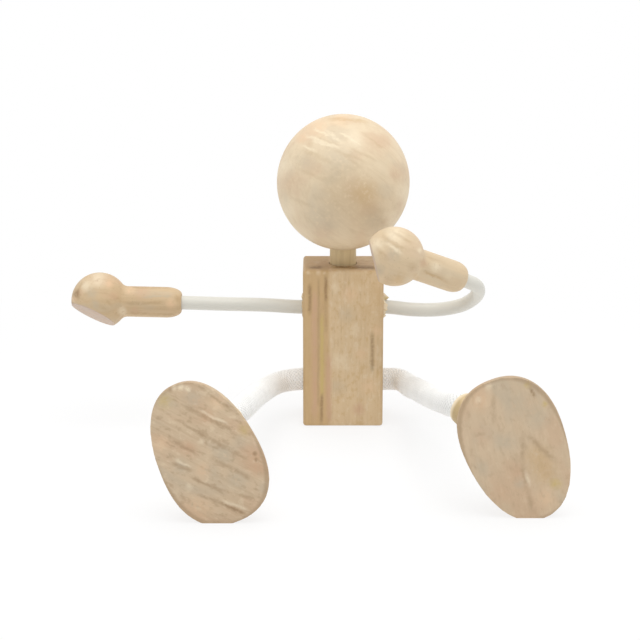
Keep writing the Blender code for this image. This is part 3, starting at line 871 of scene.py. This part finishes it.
def tube(bm, places, radius, sides, distances, layers, strands=0, relief=0.0):
    """A tube through the places, made by wrapping a sheet round them. Gives its two end loops.

    Each point keeps its place, its distance along the tube and how far its strand stands out.
    """
    sheet = bmesh.ops.create_grid(bm, x_segments=sides, y_segments=len(places) - 1, size=0.5)["verts"]
    for vert in sheet:
        around = (vert.co.x + 0.5) * math.tau
        index = round((vert.co.y + 0.5) * (len(places) - 1))
        height = braid_height(around, distances[index] / radius, strands) if strands else 1.0
        out = radius - relief * (1.0 - height)
        vert.co = places[index] @ Vector((out * math.cos(around), out * math.sin(around), 0.0))
        vert[layers["along"]] = distances[index]
        vert[layers["weave"]] = height
        vert[layers["rest_place"]] = vert.co
    bmesh.ops.remove_doubles(bm, verts=sheet, dist=SAME_POINT)
    kept = [vert for vert in sheet if vert.is_valid]
    rims = dict.fromkeys(edge for vert in kept for edge in vert.link_edges if edge.is_boundary)
    loops = []
    for end in (distances[0], distances[-1]):
        loops.append([edge for edge in rims if abs(edge.verts[0][layers["along"]] - end) < NEARLY])
    return loops


def cord_layers(bm):
    """What each point of a cord or wire keeps for its material."""
    layers = {name: bm.verts.layers.float.new(name) for name in ("along", "weave")}
    layers["rest_place"] = bm.verts.layers.float_vector.new("rest_place")
    return layers


def braid_height(around, climb, strands):
    """How far a braided cord's surface stands out, from 0 to 1. Its strands pass over and under."""
    first = (around + climb) * strands / math.tau
    second = (around - climb) * strands / math.tau
    one = abs(math.sin(math.pi * first))
    other = abs(math.sin(math.pi * second))
    if (math.floor(first) + math.floor(second)) % 2:
        one, other = other, one
    return math.sqrt(one) * (0.55 + 0.45 * other)


def cord_piece(name, distances, places, radius, bore, sides, material, slot, nodes, strands=0, relief=0.0):
    """A hollow stretch of cord, braided on its outside if it has strands."""
    bm = bmesh.new()
    layers = cord_layers(bm)
    outer = tube(bm, places, radius, sides, distances, layers, strands, relief)
    picks = list(range(0, len(places) - 1, BORE_STEP)) + [len(places) - 1]
    inner_places = [places[index] for index in picks]
    inner = tube(bm, inner_places, bore, sides, [distances[index] for index in picks], layers)
    for outer_loop, inner_loop in zip(outer, inner):
        bmesh.ops.bridge_loops(bm, edges=outer_loop + inner_loop)
    return add_piece(name, bm, material, nodes, CORD_SHARP_FROM)


def marked(name, colour, place, middle, colours, sway):
    """A colour with a piece's soft, uneven spots and lines, on the side that is seen from the front."""
    bend = noise(place, *MARK_WAVER)
    bow = noise(stretched(place, (1.0, 1.0, -1.0)), *MARK_WAVER)
    across = along_way(place, middle, (1, 0, 0)) * TO_MM + (bend - 0.5) * sway
    up = along_way(place, middle, SEEN_UP) * TO_MM + (bow - 0.5) * sway
    flat = across.node("ShaderNodeCombineXYZ", {}, {"X": across, "Y": up})
    shown = step(along_way(place, middle, -BACK), *MARK_FADE) * step(noise(place, 900.0), 0.10, 0.55)
    for tone, strength, *marks in MARKS[name]:
        for *ends, reach in marks:
            start = Vector((*ends[:2], 0.0))
            if len(ends) == 2:
                mark = spot(flat, start, reach)
            else:
                way = Vector((*ends[2:], 0.0)) - start
                far = along_way(flat, start, way)
                mark = near(along_way(flat, start, (way.y, -way.x, 0.0)), 0.0, reach)
                mark *= step(far, -reach, 2 * reach) * step(far, way.length + reach, way.length - 2 * reach)
            colour = mix(mark * shown * strength, colour, getattr(colours, tone))
    return colour


def head_wood(colours, sizes):
    """Pale, fine grain that runs down to the right, with soft marks."""
    finish = Finish("head_wood")
    board = Board(
        finish.place, HEAD_CENTRE, along=(0.661, 0.246, -0.589), outward=(0.325, -0.945, -0.03),
        pith_distance=0.060, ring_width=sizes.ring_width * 1.2, phase=0.37, wander=0.0016,
    )
    colour = board.colour(
        colours.head_pale, colours.head_dark, rings=0.10, streaks=0.26, fibres=0.42, pores=0.06, blotches=0.50
    )
    tint = noise(finish.place, 130.0, 1.0)
    colour = tinted(colour, tint, 0.52, 0.70, 0.25, colours.pink)
    colour = tinted(colour, tint, 0.46, 0.30, 0.25, colours.grey)
    colour = marked("head", colour, finish.place, HEAD_CENTRE, colours, sway=2.2)
    return finish.wear(colour, board.sanded(), board.relief(), depth=0.00004)


def neck_wood(colours, sizes):
    finish = Finish("neck_wood")
    board = Board(
        finish.place, (0, 0, HEAD_BASE), along=(0, 0.1, 1), outward=(1, 0.4, 0),
        pith_distance=0.012, ring_width=sizes.ring_width * 0.5,
    )
    colour = board.colour(colours.neck_pale, colours.neck_dark, rings=0.4, streaks=0.4)
    return finish.wear(colour, board.sanded(), board.relief(), depth=0.00005)


def torso_wood(colours, sizes):
    """Upright grain: a golden strip with bands at the left, a paler flecked panel, a warm right edge."""
    finish = Finish("torso_wood")
    middle = (TORSO_LOW + TORSO_HIGH) / 2
    board = Board(
        finish.place, middle, along=(0.01, 0, 1), outward=(1, -0.25, 0),
        pith_distance=0.045, ring_width=sizes.ring_width * 1.1, wander=0.0007,
    )
    colour = board.colour(
        colours.torso_pale, colours.torso_dark,
        rings=0.10, streaks=0.20, fibres=0.50, pores=0.30, blotches=0.35,
    )
    flecks = noise(stretched(finish.place, (1.0, 1.0, 0.65)), 620.0, 3.0, 0.6)
    colour = tinted(colour, flecks, 0.52, 0.68, 0.55, colours.torso_gold)
    colour = tinted(colour, flecks, 0.46, 0.30, 0.50, colours.head_pale)
    x = axes(finish.place)[0]
    strip = step(x, *GOLDEN_STRIP) * 0.75 + step(x, *WARM_EDGE) * 0.20
    gold = mix(step(board.streaks, 0.45, 0.75) * 0.5, colours.torso_gold, colours.torso_dark)
    colour = mix(strip, colour, gold)
    colour = marked("torso", colour, finish.place, middle, colours, sway=0.8)
    # Painted shade: darker over the rounded side edges and the sides
    colour = tinted(colour, abs(x), HALF_TORSO - sizes.torso_edge, HALF_TORSO, 0.40, colours.torso_dark)
    torn = step(abs(x) - HALF_TORSO, *TORN_TINT)
    frayed = step(noise(stretched(finish.place, (0.2, 1.0, 1.0)), 900.0, 2.0), 0.48, 0.62)
    colour = mix(torn * 0.8, colour, mix(frayed * 0.7, colours.fair, colours.yellow))
    return finish.wear(colour, board.sanded(), board.relief(), depth=0.00006)


def hand_wood(name, colours, sizes, limb):
    """Grain along the peg, with soft marks and a pinkish sawn flat."""
    finish = Finish(name + "_hand_wood")
    at, axis, ball, flat_way = hand_frame(limb)
    board = Board(
        finish.place, at + axis * (HAND_LENGTH / 2), along=axis, outward=(0.2, -0.3 * limb["side"], 1.0),
        pith_distance=0.014, ring_width=sizes.ring_width * 0.8, phase=0.3, wander=0.0009,
    )
    colour = board.colour(
        colours.hand_pale, colours.hand_dark, rings=0.22, streaks=0.34, fibres=0.40, pores=0.2, blotches=0.6
    )
    tint = board.pattern(0.4, 210.0, 1.0)
    colour = tinted(colour, tint, 0.54, 0.70, 0.30, colours.pink)
    colour = tinted(colour, tint, 0.46, 0.30, 0.30, colours.grey)
    colour = mix((board.blotches + 0.5) * limb["hand_fair"], colour, colours.fair)
    colour = marked(name + "_hand", colour, finish.place, ball, colours, sway=1.6)
    out = limb["hand_flat_out"]
    sawn = step(along_way(finish.place, ball, flat_way), out - SAWN_TINT, out)
    colour = mix(sawn * 0.75, colour, mix(step(board.streaks, 0.4, 0.7) * 0.5, colours.sawn, colours.pink))
    colour = tinted(colour, noise(finish.place, 1500.0, 1.0), 0.70, 0.78, 0.25, colours.streak)
    return finish.wear(colour, board.sanded(), board.relief(), depth=0.00005)


def foot_wood(name, colours, sizes, limb):
    """Mottled sole, soft lines, painted shade at its rim; yellowish stub, painted highlight at its end."""
    finish = Finish(name + "_foot_wood")
    centre, long_way, start, entry = foot_frame(limb)
    board = Board(
        finish.place, centre, along=limb["sole_grain"], outward=(0.469, 0.15, 0.883),
        pith_distance=0.070, ring_width=sizes.ring_width * 1.05, phase=0.2, wander=0.0010,
    )
    figure = limb["sole_figure"]
    colour = board.colour(
        colours.foot_pale, colours.foot_dark,
        rings=0.08, streaks=0.30 * figure, fibres=0.42 * figure, pores=0.10 * figure, blotches=0.45,
    )
    tint = board.pattern(0.5, 150.0, 1.0)
    colour = tinted(colour, tint, 0.53, 0.68, 0.30, colours.pink)
    colour = tinted(colour, tint, 0.47, 0.32, 0.45, colours.grey)
    mottle = board.pattern(0.6, 640.0, 2.0, 0.6)
    colour = tinted(colour, mottle, 0.54, 0.70, 0.45 * figure, colours.foot_dark)
    colour = tinted(colour, mottle, 0.46, 0.30, 0.45 * figure, colours.head_pale)
    colour = marked(name + "_sole", colour, finish.place, centre, colours, sway=1.6)
    # Painted shade: the sole darkens towards its rounded rim
    along = abs(along_way(finish.place, centre, long_way)) / (SOLE_LENGTH / 2)
    across = abs(along_way(finish.place, centre, long_way.cross(BACK))) / (SOLE_WIDTH / 2)
    size = along.math("POWER", along, SOLE_SQUARENESS) + across.math("POWER", across, SOLE_SQUARENESS)
    colour = tinted(colour, size, 0.86, 1.0, 0.60, colours.foot_dark)
    stub = along_way(finish.place, start, entry - start)
    reach = ANKLE_REACH + limb["stub_more"]
    colour = tinted(colour, stub, ANKLE_ROOT_DEPTH, reach, 0.45, colours.yellow)
    # Painted highlight: the stub's end is painted pale, as if its rim caught the light from above
    colour = tinted(colour, stub, reach - STUB_END_HIGHLIGHT[0], reach - STUB_END_HIGHLIGHT[1], 0.85, colours.fair)
    return finish.wear(colour, board.sanded(), board.relief(), depth=0.00006)


def arm_cord_finish(colours):
    finish = Finish("arm_cord_sheath", "rest_place")
    smudge = noise(finish.place, 260.0, 3.0)
    fine = noise(finish.place, 2600.0, 2.0)
    shade = step(smudge, 0.40, 0.8) * 0.14 + (fine - 0.5) * 0.08
    colour = mix(shade, colours.arm_cord, colours.cord_dark)
    return finish.wear(colour, smudge * 0.15 + 0.38, fine, depth=0.00002, **CORD_GLOW)


def leg_cord_finish(colours):
    finish = Finish("leg_cord_braid", "rest_place")
    weave = finish.attribute("weave", "Fac")
    fuzz = noise(finish.place, 2400.0, 3.0, 0.65)
    smudge = noise(finish.place, 170.0, 2.0)
    # Painted light: the cord is painted lighter near the torso, where the torso shades it, and darker further
    # out
    past_painted_lift = step(finish.attribute("along", "Fac"), HALF_TORSO, 3 * HALF_TORSO)
    shade = step(weave, 0.75, 0.10) * 0.60 + (fuzz - 0.5) * 0.50 + (smudge - 0.5) * 0.30 + past_painted_lift * 0.42
    colour = mix(shade, colours.leg_cord, colours.cord_dark)
    return finish.wear(colour, fuzz * 0.1 + 0.78, fuzz, depth=0.00005, **CORD_GLOW, **CORD_SCATTER)


def wire_finish(colours):
    finish = Finish("wire_steel", "rest_place")
    scuff = noise(finish.place, 1500.0, 2.0)
    colour = mix(scuff, colours.wire, colours.wire_dark)
    return finish.wear(colour, scuff * 0.2 + 0.3, Metallic=1.0)


class DOLL_OT_head(bpy.types.Operator):
    """The turned ball head, with its blind hole for the neck"""

    bl_idname = "doll.head"
    bl_label = "Head"

    def execute(self, context):
        scene = context.scene
        outline = arc((0, 0), 1.0, math.pi / 2, HEAD_RIM_ANGLE, HEAD_ARC)
        profile = [(0.0, HEAD_HIGH.z)]
        profile += [(r * HEAD_RADIUS, HEAD_CENTRE.z + h * HEAD_HALF_HEIGHT) for r, h in outline[1:]]
        profile += [(HEAD_HOLE, NECK_HIGH.z + GAP), (0.0, NECK_HIGH.z + GAP)]
        bm = turned(profile, HEAD_SIDES)
        on_rim = {
            vert for vert in bm.verts
            if abs(vert.co.z - HEAD_BASE) < NEARLY and abs(vert.co.xy.length - HEAD_HOLE) < NEARLY
        }
        soften(bm, [edge for edge in bm.edges if on_rim.issuperset(edge.verts)], GAP)
        material = head_wood(scene.doll_colours, scene.doll_sizes)
        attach(add_piece("ball_head", bm, material, ["head"]), "head")
        return {"FINISHED"}


class DOLL_OT_neck(bpy.types.Operator):
    """The dowel that pins the head to the torso"""

    bl_idname = "doll.neck"
    bl_label = "Neck dowel"

    def execute(self, context):
        scene = context.scene
        inner = NECK_RADIUS - NECK_EDGE
        profile = [(0.0, NECK_HIGH.z)]
        profile += arc((inner, NECK_HIGH.z - NECK_EDGE), NECK_EDGE, math.pi / 2, 0.0, EDGE_ARC)
        profile += arc((inner, NECK_LOW.z + NECK_EDGE), NECK_EDGE, 0.0, -math.pi / 2, EDGE_ARC)
        profile.append((0.0, NECK_LOW.z))
        bm = turned(profile, NECK_SIDES)
        material = neck_wood(scene.doll_colours, scene.doll_sizes)
        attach(add_piece("neck_pin", bm, material, ["neck_dowel"]), "torso")
        return {"FINISHED"}


def torn_rim(side, radius, height):
    """A ragged rim of torn wood round an arm hole: highest above the cord, with a notch."""
    inner = radius + TORN_CLEARANCE
    profile = [(inner, -TORN_ROOT)]
    profile += [(inner + TORN_WALL * out, rise) for out, rise in TORN_SECTION]
    profile.append((inner + TORN_WALL, -TORN_ROOT))
    bm = turned(profile, TORN_SIDES, closed=True)
    many, few = TORN_WAVES
    for vert in bm.verts:
        angle = math.atan2(vert.co.y, vert.co.x)
        above = 0.5 + 0.5 * math.cos(angle)
        ragged = 1.0 - TORN_RAGGED + TORN_RAGGED * math.sin(many * angle) * math.sin(few * angle + 1.0)
        notch = 1.0 - NOTCH_DEPTH * math.exp(-((angle - NOTCH_ANGLE * side) / NOTCH_WIDTH) ** 2)
        if vert.co.z > 0.0:
            vert.co.z *= height * (0.5 + 0.5 * above) * ragged * notch
        vert.co.xy *= 1.0 + TORN_FLARE * above * (vert.co.xy.length - inner) / TORN_WALL
    place = Matrix.Translation((side * HALF_TORSO, 0.0, ARM_HEIGHT)) @ pointing((side, 0, 0), (0, 0, 1))
    bmesh.ops.transform(bm, matrix=place, verts=bm.verts)
    bmesh.ops.recalc_face_normals(bm, faces=bm.faces)
    return bm


class DOLL_OT_torso(bpy.types.Operator):
    """The torso block with its holes, and the torn wood round the arm holes"""

    bl_idname = "doll.torso"
    bl_label = "Torso"

    def execute(self, context):
        scene = context.scene
        sizes = scene.doll_sizes
        bm = bmesh.new()
        bmesh.ops.create_cube(bm, size=1.0)
        bmesh.ops.scale(bm, vec=TORSO_HIGH - TORSO_LOW, verts=bm.verts)
        bmesh.ops.translate(bm, vec=(TORSO_HIGH + TORSO_LOW) / 2, verts=bm.verts)
        soften(bm, bm.edges[:], sizes.torso_edge, segments=6)
        past = 2 * HALF_TORSO
        arm_hole = sizes.arm_cord / 2 + GAP
        cuts = [
            rod("neck_hole", NECK_RADIUS + GAP, (0, 0, NECK_LOW.z - GAP), (0, 0, HEAD_BASE)),
            rod("arm_hole", arm_hole, (-past, 0, ARM_HEIGHT), (past, 0, ARM_HEIGHT)),
            rod("leg_hole", sizes.leg_cord / 2 + GAP, (-past, 0, LEG_HEIGHT), (past, 0, LEG_HEIGHT)),
        ]
        bm = worked(shape_from(bm, "torso_blank"), [boolean("DIFFERENCE", cut) for cut in cuts])
        bmesh.ops.remove_doubles(bm, verts=bm.verts, dist=SAME_POINT)
        for side, share in TORN_SHARES:
            rim = torn_rim(side, arm_hole, sizes.burr * share)
            mesh = bpy.data.meshes.new("torn_rim")
            rim.to_mesh(mesh)
            rim.free()
            bm.from_mesh(mesh)
            bpy.data.meshes.remove(mesh)
        material = torso_wood(scene.doll_colours, sizes)
        torso = add_piece("torso_body", bm, material, ["torso_block"], TORSO_SHARP_FROM)
        keep_flat = torso.modifiers.new("keep_flat", "WEIGHTED_NORMAL")
        keep_flat.keep_sharp = True
        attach(torso, "torso")
        return {"FINISHED"}


class DOLL_OT_hands(bpy.types.Operator):
    """The turned peg hands, each with one flat sawn on its ball"""

    bl_idname = "doll.hands"
    bl_label = "Hands"

    def execute(self, context):
        scene = context.scene
        sizes = scene.doll_sizes
        ball = HAND_BALL / 2
        stem = HAND_STEM / 2
        hole = sizes.arm_cord / 2 + GAP
        hole_depth = CORD_IN_END + GAP
        ball_centre = HAND_LENGTH - ball
        waist_out = stem + HAND_WAIST_ROUND
        waist_angle = math.acos(waist_out / (ball + HAND_WAIST_ROUND))
        waist_at = (waist_out, ball_centre - waist_out * math.tan(waist_angle))
        profile = [(0.0, HAND_LENGTH)]
        profile += arc((0.0, ball_centre), ball, math.pi / 2, -waist_angle, BALL_ARC)[1:]
        profile += arc(waist_at, HAND_WAIST_ROUND, math.pi - waist_angle, math.pi, WAIST_ARC)[1:]
        for name, limb in LIMBS.items():
            lip = hole + limb["hand_end_lip"]
            more = limb["hand_end_more"]
            stem_end = []
            for inward, down in arc((0.0, 0.0), 1.0, 0.0, -math.pi / 2, TAPER_ARC):
                height = HAND_END_TAPER + (HAND_END_TAPER + more) * down
                stem_end.append((lip + (stem - lip) * inward, height))
            stem_end += [(hole, -more), (hole, hole_depth), (0.0, hole_depth)]
            bm = turned(profile + stem_end, HAND_SIDES)
            at, axis, ball_at, flat_way = hand_frame(limb)
            place = Matrix.Translation(at) @ pointing(axis, limb["hand_flat_faces"])
            bmesh.ops.transform(bm, matrix=place, verts=bm.verts)
            rim = cut_flat(bm, ball_at + flat_way * limb["hand_flat_out"], flat_way)
            soften(bm, rim, sizes.flat_edge)
            material = hand_wood(name, scene.doll_colours, sizes, limb)
            hand = add_piece(name + "_peg_hand", bm, material, [name + "_hand"])
            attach(hand, name + "_forearm")
        return {"FINISHED"}


class DOLL_OT_feet(bpy.types.Operator):
    """The half-egg feet, each with a flat sole and a stub that takes the leg cord"""

    bl_idname = "doll.feet"
    bl_label = "Feet"

    def execute(self, context):
        scene = context.scene
        sizes = scene.doll_sizes
        for name, limb in LIMBS.items():
            reach = ANKLE_REACH + limb["stub_more"]
            rim = (ANKLE_END / 2 - ANKLE_END_ROUND, reach - ANKLE_END_ROUND)
            stub_profile = [(0.0, ANKLE_ROOT_DEPTH), (ANKLE_ROOT / 2, ANKLE_ROOT_DEPTH)]
            stub_profile += arc(rim, ANKLE_END_ROUND, 0.0, math.pi / 2, STUB_ARC)
            stub_profile.append((0.0, reach))
            centre, long_way, start, entry = foot_frame(limb)
            ankle = (entry - start).normalized()
            bm = bmesh.new()
            bmesh.ops.create_uvsphere(bm, u_segments=FOOT_SIDES, v_segments=DOME_ARC, radius=1.0)
            cut_flat(bm, (0, 0, 0), (0, 0, -1))
            for vert in bm.verts:
                flat = egg_point(vert.co.x, vert.co.y, limb["narrow_end"])
                vert.co = Vector((*flat, vert.co.z * FOOT_DOME))
            turn = Matrix((long_way.cross(BACK), long_way, BACK)).transposed().to_4x4()
            bmesh.ops.transform(bm, matrix=Matrix.Translation(centre) @ turn, verts=bm.verts)
            stub = turned(stub_profile, FOOT_SIDES)
            lie = ankle.to_track_quat("Z", "Y").to_matrix().to_4x4()
            bmesh.ops.transform(stub, matrix=Matrix.Translation(start) @ lie, verts=stub.verts)
            stub = shape_from(stub, name + "_stub")
            bm = worked(
                shape_from(bm, name + "_dome"),
                [
                    boolean("UNION", stub),
                    ("REMESH", {"mode": "VOXEL", "voxel_size": FOOT_VOXEL}),
                    ("SMOOTH", {"factor": 0.5, "iterations": FOOT_SMOOTHING}),
                ],
            )
            cut_flat(bm, centre + BACK * SOLE_SKIN, -BACK)
            bmesh.ops.translate(bm, vec=-BACK * SOLE_SKIN, verts=bm.verts)
            cut_flat(bm, (0, 0, 0), (0, 0, -1))
            hole = rod(
                name + "_hole", sizes.leg_cord / 2 + GAP,
                entry - ankle * (CORD_IN_END + GAP), entry + ankle * CORD_IN_END,
            )
            bm = worked(shape_from(bm, name + "_blank"), [boolean("DIFFERENCE", hole)])
            material = foot_wood(name, scene.doll_colours, sizes, limb)
            foot = add_piece(name + "_egg_foot", bm, material, [name + "_foot"])
            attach(foot, name + "_shin")
        return {"FINISHED"}


def make_limbs(scene, kind, stretches, cord_material, ring_step, sides, strands=0, relief=0.0):
    """Both halves of a cord and its wire, each half in two lengths that meet between its two joints."""
    cord = getattr(scene.doll_sizes, kind + "_cord") / 2
    wire = getattr(scene.doll_sizes, kind + "_wire") / 2
    wire_material = wire_finish(scene.doll_colours)
    for name, limb in LIMBS.items():
        line = limb_line(limb, kind)
        distances, places = ring_places(line, ring_step)
        bends = [[HALF_TORSO + at for at in bend] for bend in limb[kind + "_bends"]]
        parting_at = (bends[0][1] + bends[1][0]) / 2
        parting = min(range(len(distances)), key=lambda index: abs(distances[index] - parting_at))
        inner, outer = [f"{name}_{stretch}" for stretch in stretches]
        lengths = (
            ("inner", 0, parting, ("torso", inner), [kind + "_cord_centre", inner]),
            ("outer", parting, len(distances) - 1, (inner, outer), [outer]),
        )
        for (part, first, last, bodies, nodes), bend in zip(lengths, bends):
            start, end = points_along(line, bend)
            piece = cord_piece(
                f"{name}_{kind}_cord_{part}", distances[first:last + 1], places[first:last + 1], cord,
                wire + GAP, sides, cord_material, kind + "_cord", nodes, strands, relief,
            )
            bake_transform(piece)
            bm = bmesh.new()
            layers = cord_layers(bm)
            picks = list(range(first, last, WIRE_STEP)) + [last]
            wire_places = [places[pick] for pick in picks]
            for loop in tube(bm, wire_places, wire, WIRE_SIDES, [distances[pick] for pick in picks], layers):
                bmesh.ops.edgeloop_fill(bm, edges=loop)
            core = add_piece(
                f"{name}_{kind}_wire_{part}", bm, wire_material, [kind + "_wire"], CORD_SHARP_FROM
            )
            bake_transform(core)


class DOLL_OT_arms(bpy.types.Operator):
    """The smooth arm cord and its wire, each half in an upper arm and a forearm length"""

    bl_idname = "doll.arms"
    bl_label = "Arm cord"

    def execute(self, context):
        cord = arm_cord_finish(context.scene.doll_colours)
        make_limbs(context.scene, "arm", ("upper_arm", "forearm"), cord, **ARM_RINGS)
        return {"FINISHED"}


class DOLL_OT_legs(bpy.types.Operator):
    """The braided leg cord and its wire, each half in a thigh and a shin length"""

    bl_idname = "doll.legs"
    bl_label = "Leg cord"

    def execute(self, context):
        sizes = context.scene.doll_sizes
        cord = leg_cord_finish(context.scene.doll_colours)
        make_limbs(
            context.scene, "leg", ("thigh", "shin"), cord, **LEG_RINGS,
            strands=sizes.braid_strands, relief=sizes.braid_relief,
        )
        return {"FINISHED"}


def seen_directly(tree):
    """1 for what the camera, a reflection or clear material sees, 0 for light that falls on things."""
    camera = Value(tree).node("ShaderNodeLightPath", {}, {}, "Is Camera Ray")
    rays = camera.socket.node.outputs
    return camera + Value(tree, rays["Is Glossy Ray"]) + Value(tree, rays["Is Transmission Ray"])


def floor_finish(colours):
    """Matt floor that shows nearly white near the doll, with its shadow, and white far off."""
    finish = Finish("floor_paper")
    tree = finish.tree
    grain = noise(finish.place, 900.0, 2.0)
    colour = mix((grain - 0.5) * 0.1, colours.floor, colours.floor_grain)
    finish.wear(colour, grain * 0.1 + 0.85)
    paper = Value(tree, finish.shader.outputs[0])
    glow = paper.node("ShaderNodeEmission", {}, {})
    nearby = spot(finish.place, SHADOW_MIDDLE, SHADOW_REACH)
    lit = paper.node("ShaderNodeMixShader", {}, {0: 1.0 - nearby * SHADOW_SHARE, 1: paper, 2: glow})
    bounced = paper.node("ShaderNodeMixShader", {}, {0: FLOOR_GLOW, 1: paper, 2: glow})
    shown = paper.node("ShaderNodeMixShader", {}, {0: seen_directly(tree), 1: bounced, 2: lit})
    tree.links.new(shown.socket, tree.nodes["Material Output"].inputs["Surface"])
    return finish.material


def room_light(stage):
    """A white room to look at, and soft light from it, dimmer from the camera's side."""
    world = bpy.data.worlds.new("studio_room")
    world.use_nodes = True
    tree = world.node_tree
    background = tree.nodes["Background"]
    background.inputs["Color"].default_value = (1.0, 1.0, 1.0, 1.0)
    way = Value(tree).node("ShaderNodeTexCoord", {}, {}, "Generated")
    front = step(along_way(way, (0, 0, 0), -BACK), 0.0, 1.0)
    falls = (1.0 - front * stage.front_shade) * stage.room_light
    seen = seen_directly(tree)
    strength = seen + (1.0 - seen) * falls
    tree.links.new(strength.socket, background.inputs["Strength"])
    return world


class DOLL_OT_stage(bpy.types.Operator):
    """The studio: a pale floor, a soft light above, light all round and the camera"""

    bl_idname = "doll.stage"
    bl_label = "Stage"

    def execute(self, context):
        scene = context.scene
        stage = scene.doll_stage
        scene.view_settings.view_transform = "Standard"
        bm = bmesh.new()
        bmesh.ops.create_grid(bm, x_segments=1, y_segments=1, size=stage.floor_size / 2)
        mesh = bpy.data.meshes.new("studio_floor")
        bm.to_mesh(mesh)
        bm.free()
        mesh.materials.append(floor_finish(scene.doll_colours))
        floor = bpy.data.objects.new("studio_floor", mesh)
        scene.collection.objects.link(floor)
        light = bpy.data.lights.new("soft_top", "AREA")
        light.shape = "DISK"
        light.size = TOP_LIGHT_SIZE
        light.energy = stage.top_light
        scene.world = room_light(stage)
        camera = bpy.data.cameras.new("camera")
        camera.angle = 2 * math.atan(IMAGE_SIDE / 2 / stage.focal_pixels)
        camera.clip_start = NEAREST_SEEN
        for data, at in ((light, TOP_LIGHT_AT), (camera, stage.camera_at)):
            placed = bpy.data.objects.new(data.name, data)
            placed.location = at
            way = Vector(stage.camera_to) - Vector(at)
            placed.rotation_euler = way.to_track_quat("-Z", "Y").to_euler()
            scene.collection.objects.link(placed)
        scene.camera = placed
        return {"FINISHED"}


class DOLL_PT_sidebar(bpy.types.Panel):
    """Makes the doll's pieces and shows their sizes and colours"""

    bl_idname = "DOLL_PT_sidebar"
    bl_label = "Wooden Doll"
    bl_space_type = "VIEW_3D"
    bl_region_type = "UI"
    bl_category = "Doll"

    def draw(self, context):
        for operator in OPERATORS:
            self.layout.operator(operator.bl_idname)
        for group in (context.scene.doll_sizes, context.scene.doll_colours, context.scene.doll_stage):
            column = self.layout.column()
            for name in group.__annotations__:
                column.prop(group, name)


OPERATORS = (
    DOLL_OT_stage,
    DOLL_OT_arms,
    DOLL_OT_legs,
    DOLL_OT_head,
    DOLL_OT_neck,
    DOLL_OT_torso,
    DOLL_OT_hands,
    DOLL_OT_feet,
)
CLASSES = (DollSizes, DollColours, DollStage, *OPERATORS, DOLL_PT_sidebar)


def register():
    for made in CLASSES:
        bpy.utils.register_class(made)
    bpy.types.Scene.doll_sizes = PointerProperty(type=DollSizes)
    bpy.types.Scene.doll_colours = PointerProperty(type=DollColours)
    bpy.types.Scene.doll_stage = PointerProperty(type=DollStage)


def unregister():
    del bpy.types.Scene.doll_stage
    del bpy.types.Scene.doll_colours
    del bpy.types.Scene.doll_sizes
    for made in reversed(CLASSES):
        bpy.utils.unregister_class(made)


def main():
    register()
    bpy.ops.doll.stage()
    bpy.ops.doll.arms()
    bpy.ops.doll.legs()
    bpy.ops.doll.head()
    bpy.ops.doll.neck()
    bpy.ops.doll.torso()
    bpy.ops.doll.hands()
    bpy.ops.doll.feet()
    bpy.context.view_layer.update()


if __name__ == "__main__":
    main()
